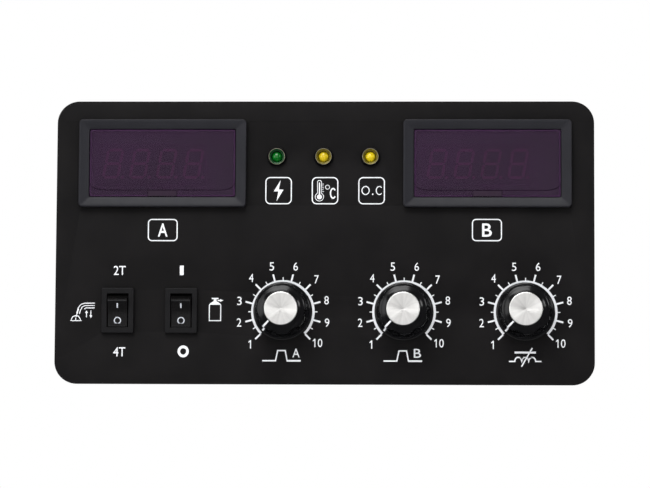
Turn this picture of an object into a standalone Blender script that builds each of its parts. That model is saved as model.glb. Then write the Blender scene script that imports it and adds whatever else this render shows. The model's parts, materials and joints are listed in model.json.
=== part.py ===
"""Front control panel of a TIG welding machine: printed plate, two digital meters, three lamps,
two rocker switches and three potentiometers with fluted knobs, with what sits behind the plate.

Panel space: x to the right, y up, z out towards the operator, and z = 0 where the panel seats on
the machine. The empty panel_frame turns that space into the world, where the front faces -Y.
"""

import math

import bmesh
import bpy
from mathutils import Matrix

# ---- general fits (metres) ----
GAP = 0.0003  # between pieces that touch
FIT = 0.0003  # around a piece that passes through a hole
SLIDE = 0.0001  # around the shafts, in their bushes and knobs
ROUND_ANGLE = 35  # degrees between faces that still read as one round surface

# ---- plate and gasket ----
PANEL_WIDTH = 0.250
PANEL_HEIGHT = 0.132
PANEL_CORNER = 0.0103
PLATE_THICKNESS = 0.0020
GASKET_THICKNESS = 0.0030
GASKET_WIDTH = 0.0080
GASKET_INSET = 0.0010
STUD_RADIUS = 0.0020
STUD_LENGTH = 0.0150
STUD_WEB = 0.0012  # gasket left outside a stud's hole

# ---- digital meters ----
METER_GASKET_GAP = 0.00105  # gasket to the meter's body at the top
CLIP_GASKET_GAP = 0.00025  # gasket to the outer clip's foot
BEZEL_WIDTH = 0.0780
BEZEL_HEIGHT = 0.0410
BEZEL_PROUD = 0.0030
BEZEL_CORNER = 0.0019
BEZEL_LIP = 0.0010  # level rim left round the bezel's outside
BEZEL_DISH = 0.0006  # how far the frame falls towards the window
FRAME_SIDE = 0.00505  # frame left and right of the window
FRAME_END = 0.00475  # frame above and below the window
BEZEL_OVERLAP = 0.00125  # of the bezel over the body, each side
METER_DEPTH = 0.0240
METER_WALL = 0.0015
WINDOW_CORNER = 0.0010
WINDOW_THICKNESS = 0.0017
WINDOW_RECESS = 0.0009
WINDOW_LEDGE = 0.0014
DISPLAY_DEPTH = 0.0080
DISPLAY_LEFT = 0.0034  # window's left edge to the display block
DISPLAY_RIGHT = 0.0142  # window's right edge to the display block
DISPLAY_END = 0.00625  # window's top or bottom edge to the display block
CLIP_HEIGHT = 0.0140
CLIP_LENGTH = 0.0160
CLIP_THICKNESS = 0.0012
CLIP_FOOT = 0.0022

# ---- lamps ----
LAMP_SPACING = 0.02175
LAMP_MIDDLE_X = -0.00055
LAMP_TOP_MARGIN = 0.0261  # panel's top edge to the lamps' line
LED_RADIUS = 0.0025
LED_HEIGHT = 0.0086
LED_FLANGE_WIDTH = 0.0004
LED_FLANGE_THICKNESS = 0.0010
LED_LEG_LENGTH = 0.0140
LED_LEG_SPACING = 0.00254
LED_LEG_THICKNESS = 0.0005
LAMP_BARREL_WALL = 0.0006  # round the lens's flange
LAMP_BARREL_LENGTH = 0.0098
LAMP_FLANGE_WIDTH = 0.0008  # beyond the barrel
LAMP_FLANGE_EDGE = 0.0004
LAMP_PROUD = 0.0022
LAMP_RIM_OFFSET = 0.0001  # rim's outer edge beyond the barrel
LAMP_RIM_WIDTH = 0.0003
LAMP_RIM_HEIGHT = 0.0004
LAMP_RIM_DRAFT = 0.0002
LAMP_CUP_FLOOR = 0.0006  # above the plate's front
LAMP_NUT_WALL = 0.0017
LAMP_NUT_THICKNESS = 0.0022

# ---- rocker switches ----
SWITCH_SIDE_MARGIN = 0.0293  # panel's left edge to the first switch's centre
SWITCH_SPACING = 0.0295
CONTROL_LINE = 0.0339  # panel's bottom edge to the line of switches and knobs
ROCKER_WIDTH = 0.0091
ROCKER_SIDE_GAP = 0.0004
ROCKER_TILT = 12.0  # degrees either side of level
ROCKER_EDGE_RADIUS = 0.00943  # pivot to the face's end edge
ROCKER_EDGE_ANGLE = 48.8  # degrees above the pivot's level
ROCKER_SKIRT_RADIUS = 0.00881  # pivot to the skirt that the bezel holds in
ROCKER_SKIRT_ANGLE = 26.3
ROCKER_SKIN = 0.0009
ROCKER_HUB_HALF = 0.0034  # half width of the hub where it meets the skirt
ROCKER_HUB_RISE = 0.0018  # above the pivot
NIB_SHOULDER = 0.0017  # half width of the nib at its root
NIB_ROOT = 0.0010  # below the pivot
NIB_LENGTH = 0.0034  # below the pivot
NIB_HALF_WIDTH = 0.0009
NIB_TIP_HALF = 0.0004
NIB_TIP_HEIGHT = 0.0003
ROCKER_SINK = 0.0003  # pressed half below the bezel
TRUNNION_RADIUS = 0.0012
TRUNNION_LENGTH = 0.0010
SWITCH_BEZEL_LAP_SIDE = 0.00105  # of the bezel over the body
SWITCH_BEZEL_LAP_END = 0.00106
SWITCH_BEZEL_PROUD = 0.0018
SWITCH_BEZEL_CORNER = 0.0005
SWITCH_WALL_SIDE = 0.0015
SWITCH_WALL_END = 0.0006
SWITCH_BODY_DEPTH = 0.0135  # behind the plate's front
SWITCH_LIP = 0.0006  # thickness of the bezel's edge round the rocker
SWITCH_FLOOR = 0.0015
LEVER_RATIO = 0.75  # of the contact lever's turn to the rocker's
LEVER_LENGTH = 0.0120
LEVER_WIDTH = 0.0030
LEVER_THICKNESS = 0.0005
LEVER_NIB_GAP = 0.00095
LEVER_REST_GAP = 0.0004  # over the common terminal
BUTTON_RADIUS = 0.0009
BUTTON_HEIGHT = 0.0004
BUTTON_INSET = 0.0005  # from the contact terminal's line towards the pivot
CONTACT_GAP = 0.0002  # closed button to its terminal, beyond the button's own height
TAB_WIDTH = 0.0048
TAB_THICKNESS = 0.0008
TAB_LENGTH = 0.0080
TAB_SPACING = 0.0055
TAB_HOLE_RADIUS = 0.0008
TAB_HOLE_DROP = 0.0048  # below the housing's rear

# ---- potentiometers and knobs ----
KNOB_SIDE_MARGIN = 0.03205  # panel's right edge to the last knob's centre
KNOB_SPACING = 0.0561
SHAFT_RADIUS = 0.0030
SHAFT_CHAMFER = 0.0004
SHAFT_SINK = 0.0035  # knob's top to the shaft's end
BUSH_WALL = 0.0004
BUSH_PROUD = 0.0042
POT_CAN_RADIUS = 0.00825
POT_CAN_DEPTH = 0.0090
POT_CAN_WALL = 0.0008
WIPER_MARGIN = 0.00125  # wiper disc to the can's wall
WIPER_THICKNESS = 0.0012
WASHER_WIDTH = 0.00225  # beyond the bush
WASHER_THICKNESS = 0.0005
POT_NUT_WALL = 0.0015
POT_NUT_THICKNESS = 0.0020
KNOB_HEIGHT = 0.0160
KNOB_CAP_RADIUS = 0.0077
KNOB_CAP_THICKNESS = 0.0010
KNOB_CAP_CHAMFER = 0.0002
KNOB_SHOULDER = 0.0040  # cap's edge to the grip's side
KNOB_SHOULDER_DROP = 0.0012
KNOB_SHOULDER_RADIUS = 0.0022
KNOB_FLARE = 0.00175  # grip's side to the skirt's edge
KNOB_FLARE_HEIGHT = 0.0040
KNOB_SKIRT_EDGE = 0.0012
KNOB_HOLLOW_MARGIN = 0.0018  # round the washer
KNOB_FLUTES = 7
FLUTE_RADIUS = 0.0060
FLUTE_DEPTH = 0.0010
FLUTE_BASE = 0.0026  # where the flutes run out, above the knob's base
POINTER_ANGLE = 225.0  # where the pointer stands at the dial's first mark

# ---- control board ----
BOARD_THICKNESS = 0.0016
BOARD_CORNER = 0.0020
BOARD_MARGIN_X = 0.0135  # beyond the outer knobs' centres
BOARD_MARGIN_TOP = 0.00075  # between the cans and the spacers' feet
BOARD_MARGIN_BOTTOM = 0.0080  # beyond the lugs
TONGUE_WIDTH = 0.0130
TONGUE_OVERHANG = 0.00525  # can's side to the lugs
TONGUE_THICKNESS = 0.0012
TONGUE_INSET = 0.0018  # into the can
TONGUE_END = 0.0012  # beyond the lugs
LUG_WIDTH = 0.0012
LUG_THICKNESS = 0.0006
LUG_SPACING = 0.0050
LUG_PROUD = 0.0014  # through the board
SPACER_RADIUS = 0.0030
SPACER_BASE = 0.0110
SPACER_FOOT = 0.0012
PEG_RADIUS = 0.0012
PEG_PROUD = 0.0018  # through the board
HEADER_HEIGHT = 0.0090
HEADER_ACROSS = 0.0075
HEADER_WALL = 0.0009
METER_HEADER_WIDTH = 0.0180
CONTROL_HEADER_WIDTH = 0.0270

# ---- sizes and places that follow ----
PLATE_REAR = GASKET_THICKNESS + GAP
PLATE_FRONT = PLATE_REAR + PLATE_THICKNESS
GASKET_REACH = GASKET_INSET + GASKET_WIDTH  # panel's edge to the gasket's inner edge
METER_TOP_MARGIN = GASKET_REACH + METER_GASKET_GAP - BEZEL_OVERLAP
METER_SIDE_MARGIN = GASKET_REACH + CLIP_GASKET_GAP + CLIP_FOOT + GAP - BEZEL_OVERLAP
METER_OFFSET = PANEL_WIDTH / 2 - METER_SIDE_MARGIN - BEZEL_WIDTH / 2
METER_Y = PANEL_HEIGHT / 2 - METER_TOP_MARGIN - BEZEL_HEIGHT / 2
METER_FRONT = PLATE_FRONT + GAP + BEZEL_PROUD
WINDOW_WIDTH = BEZEL_WIDTH - 2 * FRAME_SIDE
WINDOW_HEIGHT = BEZEL_HEIGHT - 2 * FRAME_END
WINDOW_REAR = METER_FRONT - WINDOW_RECESS - WINDOW_THICKNESS
DISPLAY_FRONT = WINDOW_REAR - 2 * GAP
METER_BOARD_FRONT = DISPLAY_FRONT - DISPLAY_DEPTH - GAP
LAMP_Y = PANEL_HEIGHT / 2 - LAMP_TOP_MARGIN
CONTROL_Y = -PANEL_HEIGHT / 2 + CONTROL_LINE
METER_BODY_WIDTH = BEZEL_WIDTH - 2 * BEZEL_OVERLAP
METER_BODY_HEIGHT = BEZEL_HEIGHT - 2 * BEZEL_OVERLAP
STUD_SHIFT = (PANEL_CORNER - GASKET_INSET - STUD_WEB - STUD_RADIUS - FIT) / math.sqrt(2)
STUD_X = PANEL_WIDTH / 2 - PANEL_CORNER + STUD_SHIFT
STUD_Y = PANEL_HEIGHT / 2 - PANEL_CORNER + STUD_SHIFT
LED_FLANGE_RADIUS = LED_RADIUS + LED_FLANGE_WIDTH
LAMP_BARREL_RADIUS = LED_FLANGE_RADIUS + FIT + LAMP_BARREL_WALL
LAMP_RIM_RADIUS = LAMP_BARREL_RADIUS + LAMP_RIM_OFFSET
LAMP_FLANGE_RADIUS = LAMP_BARREL_RADIUS + LAMP_FLANGE_WIDTH
LAMP_NUT_FLATS = 2 * (LAMP_BARREL_RADIUS + LAMP_NUT_WALL)
ROCKER_TURN = math.radians(ROCKER_TILT)
LEVER_TURN = ROCKER_TURN * LEVER_RATIO
EDGE_TURN = math.radians(ROCKER_EDGE_ANGLE) - ROCKER_TURN
SKIRT_TURN = math.radians(ROCKER_SKIRT_ANGLE) - ROCKER_TURN
SWITCH_FRONT = PLATE_FRONT + GAP + SWITCH_BEZEL_PROUD
SWITCH_REAR = PLATE_FRONT - SWITCH_BODY_DEPTH
ROCKER_Z = SWITCH_FRONT - ROCKER_SINK - ROCKER_EDGE_RADIUS * math.sin(EDGE_TURN)
LEVER_Z = ROCKER_Z - NIB_LENGTH - LEVER_NIB_GAP - LEVER_THICKNESS / 2
SWITCH_OPENING_WIDTH = ROCKER_WIDTH + 2 * ROCKER_SIDE_GAP
SWITCH_OPENING_HEIGHT = 2 * (ROCKER_EDGE_RADIUS * math.cos(EDGE_TURN) + FIT)
SWITCH_WELL_HEIGHT = 2 * (ROCKER_SKIRT_RADIUS * math.cos(SKIRT_TURN) + FIT)
SWITCH_BODY_WIDTH = SWITCH_OPENING_WIDTH + 2 * SWITCH_WALL_SIDE
SWITCH_BODY_HEIGHT = SWITCH_WELL_HEIGHT + 2 * SWITCH_WALL_END
SWITCH_BEZEL_WIDTH = SWITCH_BODY_WIDTH + 2 * SWITCH_BEZEL_LAP_SIDE
SWITCH_BEZEL_HEIGHT = SWITCH_BODY_HEIGHT + 2 * SWITCH_BEZEL_LAP_END
SWITCH_FIRST_X = SWITCH_SIDE_MARGIN - PANEL_WIDTH / 2
BUSH_RADIUS = SHAFT_RADIUS + SLIDE + BUSH_WALL
WIPER_RADIUS = POT_CAN_RADIUS - POT_CAN_WALL - WIPER_MARGIN
WASHER_RADIUS = BUSH_RADIUS + WASHER_WIDTH
POT_NUT_FLATS = 2 * (BUSH_RADIUS + POT_NUT_WALL)
POT_FACE = PLATE_REAR - GAP
TONGUE_Z = POT_FACE - 2 * POT_CAN_WALL - TONGUE_THICKNESS
KNOB_BASE = PLATE_FRONT + 2 * GAP
KNOB_TOP = PLATE_FRONT + KNOB_HEIGHT
KNOB_GRIP_RADIUS = KNOB_CAP_RADIUS + KNOB_SHOULDER
KNOB_SKIRT_RADIUS = KNOB_GRIP_RADIUS + KNOB_FLARE
KNOB_LAST_X = PANEL_WIDTH / 2 - KNOB_SIDE_MARGIN
KNOB_XS = [KNOB_LAST_X - step * KNOB_SPACING for step in (2, 1, 0)]
SWITCH_XS = [SWITCH_FIRST_X, SWITCH_FIRST_X + SWITCH_SPACING]
LAMP_XS = [LAMP_MIDDLE_X + step * LAMP_SPACING for step in (-1, 0, 1)]
METER_XS = [-METER_OFFSET, METER_OFFSET]
TONGUE_REACH = POT_CAN_RADIUS + TONGUE_OVERHANG
BOARD_FRONT = POT_FACE - POT_CAN_DEPTH - 2 * GAP
BOARD_REAR = BOARD_FRONT - BOARD_THICKNESS
BOARD_LEFT = KNOB_XS[0] - BOARD_MARGIN_X
BOARD_RIGHT = KNOB_XS[-1] + BOARD_MARGIN_X
BOARD_TOP = CONTROL_Y + POT_CAN_RADIUS + BOARD_MARGIN_TOP + SPACER_BASE
BOARD_BOTTOM = CONTROL_Y - TONGUE_REACH - BOARD_MARGIN_BOTTOM
LAMP_NAMES = ["power", "heat", "current"]
LAMP_COLOURS = [(0.0, 0.22, 0.03), (0.75, 0.6, 0.0), (0.8, 0.68, 0.0)]
METER_NAMES = ["meter_a", "meter_b"]
SWITCH_NAMES = ["trigger_switch", "gas_switch"]
KNOB_NAMES = ["knob_a", "knob_b", "knob_c"]
POT_NAMES = ["pot_a", "pot_b", "pot_c"]

MATERIALS = {
    "black_paint": ((0.016, 0.015, 0.016), 0.55, 0.0),
    "gasket_rubber": ((0.02, 0.02, 0.02), 0.9, 0.0),
    "meter_plastic": ((0.045, 0.046, 0.052), 0.5, 0.0),
    "violet_filter": ((0.045, 0.02, 0.05), 0.1, 0.0),
    "display_grey": ((0.05, 0.045, 0.05), 0.4, 0.0),
    "circuit_board": ((0.02, 0.16, 0.06), 0.45, 0.0),
    "header_plastic": ((0.75, 0.73, 0.68), 0.4, 0.0),
    "clip_plastic": ((0.02, 0.02, 0.02), 0.45, 0.0),
    "black_chrome": ((0.05, 0.05, 0.055), 0.2, 1.0),
    "plated_steel": ((0.62, 0.6, 0.56), 0.3, 1.0),
    "brass": ((0.7, 0.5, 0.2), 0.3, 1.0),
    "switch_plastic": ((0.022, 0.022, 0.023), 0.4, 0.0),
    "phenolic": ((0.25, 0.12, 0.05), 0.5, 0.0),
    "knob_black": ((0.008, 0.008, 0.009), 0.15, 0.0),
    "spun_aluminium": ((0.85, 0.84, 0.82), 0.25, 1.0),
    "nylon": ((0.8, 0.8, 0.76), 0.5, 0.0),
}


def clear_scene():
    for obj in list(bpy.data.objects):
        bpy.data.objects.remove(obj, do_unlink=True)


def add_collection(name, helpers=False):
    collection = bpy.data.collections.new(name)
    bpy.context.scene.collection.children.link(collection)
    collection.hide_render = helpers
    return collection


clear_scene()
PARTS = add_collection("welder_control_panel")
CUTTERS = add_collection("cutters", helpers=True)
PANEL_FRAME = bpy.data.objects.new("panel_frame", None)
PANEL_FRAME.rotation_euler = (math.radians(90), 0, 0)
PARTS.objects.link(PANEL_FRAME)


def material(name):
    """The named finish, made the first time it is asked for."""
    if name in bpy.data.materials:
        return bpy.data.materials[name]
    colour, roughness, metallic = MATERIALS[name]
    made = bpy.data.materials.new(name)
    made.use_nodes = True
    shader = made.node_tree.nodes["Principled BSDF"]
    shader.inputs["Base Color"].default_value = (*colour, 1)
    shader.inputs["Roughness"].default_value = roughness
    shader.inputs["Metallic"].default_value = metallic
    return made


def lamp_material(name, colour):
    made = bpy.data.materials.new(name)
    made.use_nodes = True
    shader = made.node_tree.nodes["Principled BSDF"]
    shader.inputs["Base Color"].default_value = (*colour, 1)
    shader.inputs["Roughness"].default_value = 0.15
    return made


def add_object(name, mesh, at=(0, 0, 0)):
    """A new object in panel space, with its mesh measured from the point at."""
    mesh.shade_smooth()
    mesh.set_sharp_from_angle(angle=math.radians(ROUND_ANGLE))
    obj = bpy.data.objects.new(name, mesh)
    obj.parent = PANEL_FRAME
    obj.location = at
    PARTS.objects.link(obj)
    return obj


def finish(obj, material_name):
    obj.data.materials.clear()
    obj.data.materials.append(material(material_name))
    return obj


def as_helper(obj):
    """Moves a cutter, or a shape that is joined to another, out of the model."""
    PARTS.objects.unlink(obj)
    CUTTERS.objects.link(obj)
    obj.hide_render = True
    obj.display_type = "WIRE"
    return obj


def boolean(obj, tool, operation):
    modifier = obj.modifiers.new(f"{operation.lower()}_{tool.name}", "BOOLEAN")
    modifier.operation = operation
    modifier.object = as_helper(tool)


def cut(obj, *tools):
    for tool in tools:
        boolean(obj, tool, "DIFFERENCE")


def join(obj, *tools):
    for tool in tools:
        boolean(obj, tool, "UNION")


def box(name, size, centre, at=(0, 0, 0)):
    shape = bmesh.new()
    bmesh.ops.create_cube(shape, size=1)
    bmesh.ops.scale(shape, vec=size, verts=shape.verts)
    bmesh.ops.translate(shape, vec=centre, verts=shape.verts)
    mesh = bpy.data.meshes.new(name)
    shape.to_mesh(mesh)
    shape.free()
    return add_object(name, mesh, at)


def rod(name, radius, low, high, centre=(0, 0), sides=24, axis="Z", at=(0, 0, 0), tip=None):
    """A cylinder, or with tip a cone, from low to high along Z or X."""
    shape = bmesh.new()
    end = radius if tip is None else tip
    bmesh.ops.create_cone(
        shape, cap_ends=True, segments=sides, radius1=radius, radius2=end, depth=high - low
    )
    middle = (low + high) / 2
    if axis == "X":
        turn = Matrix.Rotation(math.radians(90), 3, "Y")
        bmesh.ops.rotate(shape, matrix=turn, verts=shape.verts)
        bmesh.ops.translate(shape, vec=(middle, *centre), verts=shape.verts)
    else:
        bmesh.ops.translate(shape, vec=(*centre, middle), verts=shape.verts)
    mesh = bpy.data.meshes.new(name)
    shape.to_mesh(mesh)
    shape.free()
    return add_object(name, mesh, at)


def rounded_rectangle(width, height, radius, centre=(0, 0), steps=6):
    """Corner points of a rectangle whose corners are arcs of the given number of steps."""
    points = []
    for corner in range(4):
        start = corner * math.pi / 2
        side_x = 1 if corner in (0, 3) else -1
        side_y = 1 if corner in (0, 1) else -1
        middle_x = centre[0] + side_x * (width / 2 - radius)
        middle_y = centre[1] + side_y * (height / 2 - radius)
        for step in range(steps + 1):
            angle = start + step * math.pi / 2 / steps
            points.append((middle_x + radius * math.cos(angle), middle_y + radius * math.sin(angle)))
    return points


def rectangle(width, height, centre=(0, 0)):
    x, y = centre
    w, h = width / 2, height / 2
    return [(x + w, y + h), (x - w, y + h), (x - w, y - h), (x + w, y - h)]


def circle(radius, centre=(0, 0), sides=24, turn=0.0):
    angles = [turn + step * math.tau / sides for step in range(sides)]
    return [(centre[0] + radius * math.cos(a), centre[1] + radius * math.sin(a)) for a in angles]


def hexagon(flats, centre=(0, 0)):
    return circle(flats / math.sqrt(3), centre, sides=6, turn=math.radians(30))


def as_mesh(drawn):
    """The evaluated mesh of a curve or a modified object, which it then replaces."""
    PARTS.objects.link(drawn)
    evaluated = drawn.evaluated_get(bpy.context.evaluated_depsgraph_get())
    mesh = bpy.data.meshes.new_from_object(evaluated)
    mesh.transform(evaluated.matrix_world)
    mesh.name = drawn.name
    bpy.data.objects.remove(drawn, do_unlink=True)
    return mesh


def flat(name, outlines, low, high, at=(0, 0, 0), along="Z"):
    """A sheet or prism between low and high: the first outline less the others.

    Along Z the outline is (x, y). Along X it is (y, z).
    """
    curve = bpy.data.curves.new(name, "CURVE")
    curve.dimensions = "2D"
    curve.fill_mode = "BOTH"
    curve.extrude = (high - low) / 2
    for outline in outlines:
        spline = curve.splines.new("POLY")
        spline.points.add(len(outline) - 1)
        for point, (u, v) in zip(spline.points, outline):
            point.co = (u, v, 0, 1)
        spline.use_cyclic_u = True
    drawn = bpy.data.objects.new(name, curve)
    drawn.location = (0, 0, (low + high) / 2)
    mesh = as_mesh(drawn)
    shape = bmesh.new()
    shape.from_mesh(mesh)
    bmesh.ops.remove_doubles(shape, verts=shape.verts, dist=1e-7)
    if along == "X":
        turn = Matrix(((0, 0, 1), (1, 0, 0), (0, 1, 0)))
        bmesh.ops.rotate(shape, matrix=turn, verts=shape.verts)
    shape.to_mesh(mesh)
    shape.free()
    return add_object(name, mesh, at)


def turned(name, profile, steps=32, ring=False, at=(0, 0, 0)):
    """A lathe shape about Z from (radius, height) points that run down its outer side.

    A ring's profile is a closed loop, and any other starts and ends on the axis.
    """
    outline = bpy.data.meshes.new(name)
    edges = [(i, i + 1) for i in range(len(profile) - 1)]
    if ring:
        edges.append((len(profile) - 1, 0))
    outline.from_pydata([(radius, 0, height) for radius, height in profile], edges, [])
    drawn = bpy.data.objects.new(name, outline)
    screw = drawn.modifiers.new("turned", "SCREW")
    screw.steps = steps
    screw.render_steps = steps
    screw.use_merge_vertices = True
    screw.merge_threshold = 1e-6
    return add_object(name, as_mesh(drawn), at)


def polar(radius, degrees, centre=(0, 0)):
    angle = math.radians(degrees)
    return (centre[0] + radius * math.cos(angle), centre[1] + radius * math.sin(angle))


def arc(radius, start, end, steps, centre=(0, 0)):
    """Points along an arc in degrees, for profiles and outlines."""
    return [polar(radius, start + (end - start) * i / steps, centre) for i in range(steps + 1)]


# ---- plate and gasket ----


def stud_points():
    return [(sx * STUD_X, sy * STUD_Y) for sx in (-1, 1) for sy in (-1, 1)]


def plate_openings():
    """Every hole in the plate, each sized from the piece that passes through it."""
    holes = []
    for x in METER_XS:
        width, height = METER_BODY_WIDTH + 2 * FIT, METER_BODY_HEIGHT + 2 * FIT
        holes.append(rectangle(width, height, (x, METER_Y)))
    for x in SWITCH_XS:
        width, height = SWITCH_BODY_WIDTH + 2 * FIT, SWITCH_BODY_HEIGHT + 2 * FIT
        holes.append(rectangle(width, height, (x, CONTROL_Y)))
    for x in LAMP_XS:
        holes.append(circle(LAMP_BARREL_RADIUS + FIT, (x, LAMP_Y), sides=24))
    for x in KNOB_XS:
        holes.append(circle(BUSH_RADIUS + FIT, (x, CONTROL_Y), sides=24))
    return holes


def make_plate():
    outline = rounded_rectangle(PANEL_WIDTH, PANEL_HEIGHT, PANEL_CORNER, steps=10)
    plate = flat("front_plate", [outline], PLATE_REAR, PLATE_FRONT)
    for index, point in enumerate(stud_points()):
        low = PLATE_REAR - STUD_LENGTH
        stud = rod(f"stud_{index}", STUD_RADIUS, low, PLATE_FRONT - PLATE_THICKNESS / 2, point, 16)
        join(plate, stud)
    cut(plate, flat("plate_openings", plate_openings(), PLATE_REAR - GAP, PLATE_FRONT + GAP))
    return finish(plate, "black_paint")


def make_gasket():
    outer_width = PANEL_WIDTH - 2 * GASKET_INSET
    outer_height = PANEL_HEIGHT - 2 * GASKET_INSET
    outer = rounded_rectangle(outer_width, outer_height, PANEL_CORNER - GASKET_INSET, steps=8)
    inner_width = outer_width - 2 * GASKET_WIDTH
    inner_height = outer_height - 2 * GASKET_WIDTH
    inner = rectangle(inner_width, inner_height)
    holes = [circle(STUD_RADIUS + FIT, point, sides=16) for point in stud_points()]
    gasket = flat("rear_gasket", [outer, inner, *holes], 0, GASKET_THICKNESS)
    return finish(gasket, "gasket_rubber")


# ---- digital meters ----


def make_meter_case(name, x):
    """Bezel and body in one moulding, open at the rear."""
    seat = WINDOW_REAR - GAP
    case = flat(
        f"{name}_case",
        [rounded_rectangle(BEZEL_WIDTH, BEZEL_HEIGHT, BEZEL_CORNER, steps=4)],
        PLATE_FRONT + GAP,
        METER_FRONT,
        at=(x, METER_Y, 0),
    )
    rear = PLATE_FRONT - METER_DEPTH
    body = flat(
        f"{name}_body",
        [rectangle(METER_BODY_WIDTH, METER_BODY_HEIGHT)],
        rear,
        PLATE_FRONT + GAP + BEZEL_PROUD / 2,
        at=(x, METER_Y, 0),
    )
    recess = flat(
        f"{name}_recess",
        [rounded_rectangle(WINDOW_WIDTH + 2 * FIT, WINDOW_HEIGHT + 2 * FIT, WINDOW_CORNER, steps=3)],
        seat,
        METER_FRONT + GAP,
        at=(x, METER_Y, 0),
    )
    opening_width = WINDOW_WIDTH - 2 * WINDOW_LEDGE
    opening_height = WINDOW_HEIGHT - 2 * WINDOW_LEDGE
    opening = flat(
        f"{name}_opening",
        [rectangle(opening_width, opening_height)],
        PLATE_REAR - METER_WALL,
        seat + GAP,
        at=(x, METER_Y, 0),
    )
    cavity = flat(
        f"{name}_cavity",
        [rectangle(METER_BODY_WIDTH - 2 * METER_WALL, METER_BODY_HEIGHT - 2 * METER_WALL)],
        rear - GAP,
        seat - METER_WALL,
        at=(x, METER_Y, 0),
    )
    join(case, body)
    cut(case, dished_frame(name, x), recess, opening, cavity)
    return finish(case, "meter_plastic")


def dished_frame(name, x):
    """The shallow pyramid that slopes the frame's face down towards the window."""
    shape = bmesh.new()
    bmesh.ops.create_cone(
        shape, cap_ends=True, segments=4, radius1=0.5, radius2=1.0, depth=1.0,
        matrix=Matrix.Rotation(math.radians(45), 4, "Z"),
    )
    run_out = (FRAME_SIDE - BEZEL_LIP) / BEZEL_DISH * (BEZEL_DISH + GAP)
    high = (BEZEL_WIDTH / 2 - BEZEL_LIP, BEZEL_HEIGHT / 2 - BEZEL_LIP, METER_FRONT + GAP)
    low = (high[0] - run_out, high[1] - run_out, METER_FRONT - BEZEL_DISH)
    for vert in shape.verts:
        target = high if vert.co.z > 0 else low
        vert.co = (
            math.copysign(target[0], vert.co.x),
            math.copysign(target[1], vert.co.y),
            target[2],
        )
    mesh = bpy.data.meshes.new(f"{name}_dish")
    shape.to_mesh(mesh)
    shape.free()
    return add_object(f"{name}_dish", mesh, (x, METER_Y, 0))


def make_meter_window(name, x):
    outline = rounded_rectangle(WINDOW_WIDTH, WINDOW_HEIGHT, WINDOW_CORNER - FIT, steps=3)
    high = WINDOW_REAR + WINDOW_THICKNESS
    window = flat(f"{name}_window", [outline], WINDOW_REAR, high, at=(x, METER_Y, 0))
    return finish(window, "violet_filter")


def make_meter_display(name, x):
    """Four-digit LED block, set towards the left of the window."""
    width = WINDOW_WIDTH - DISPLAY_LEFT - DISPLAY_RIGHT
    height = WINDOW_HEIGHT - 2 * DISPLAY_END
    outline = rectangle(width, height, ((DISPLAY_LEFT - DISPLAY_RIGHT) / 2, 0))
    low = DISPLAY_FRONT - DISPLAY_DEPTH
    display = flat(f"{name}_display", [outline], low, DISPLAY_FRONT, at=(x, METER_Y, 0))
    return finish(display, "display_grey")


def make_meter_board(name, x):
    width = METER_BODY_WIDTH - 2 * METER_WALL - 2 * FIT
    height = METER_BODY_HEIGHT - 2 * METER_WALL - 2 * FIT
    low = METER_BOARD_FRONT - BOARD_THICKNESS
    board = flat(f"{name}_board", [rectangle(width, height)], low, METER_BOARD_FRONT, at=(x, METER_Y, 0))
    return finish(board, "circuit_board")


def make_header(name, at, high, width):
    """A shrouded pin header: an open tray whose mouth faces the rear."""
    header = flat(name, [rectangle(width, HEADER_ACROSS)], high - HEADER_HEIGHT, high, at=at)
    mouth = flat(
        f"{name}_mouth",
        [rectangle(width - 2 * HEADER_WALL, HEADER_ACROSS - 2 * HEADER_WALL)],
        high - HEADER_HEIGHT - GAP,
        high - 2 * HEADER_WALL,
        at=at,
    )
    cut(header, mouth)
    return finish(header, "header_plastic")


def make_meter_clips(name, x):
    """A spring clip on each side of the body, its foot pressing on the plate's rear."""
    for side, label in ((-1, "left"), (1, "right")):
        inner = METER_BODY_WIDTH / 2 + GAP
        high = PLATE_REAR - GAP
        outline = [
            (inner, high),
            (inner, high - CLIP_LENGTH),
            (inner + CLIP_THICKNESS, high - CLIP_LENGTH),
            (inner + CLIP_THICKNESS, high - CLIP_THICKNESS),
            (inner + CLIP_FOOT, high - CLIP_THICKNESS),
            (inner + CLIP_FOOT, high),
        ]
        mirrored = [(side * u, v) for u, v in outline]
        clip = flat(f"{name}_clip_{label}", [mirrored], -CLIP_HEIGHT / 2, CLIP_HEIGHT / 2)
        clip.data.transform(Matrix.Rotation(math.radians(90), 4, "X"))
        clip.location = (x, METER_Y, 0)
        finish(clip, "clip_plastic")


def make_meter(name, x):
    make_meter_case(name, x)
    make_meter_window(name, x)
    make_meter_display(name, x)
    make_meter_board(name, x)
    make_meter_clips(name, x)
    header_at = (x + METER_BODY_WIDTH / 4, METER_Y, 0)
    header_front = METER_BOARD_FRONT - BOARD_THICKNESS - GAP
    make_header(f"{name}_header", header_at, header_front, METER_HEADER_WIDTH)


# ---- lamps ----


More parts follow.
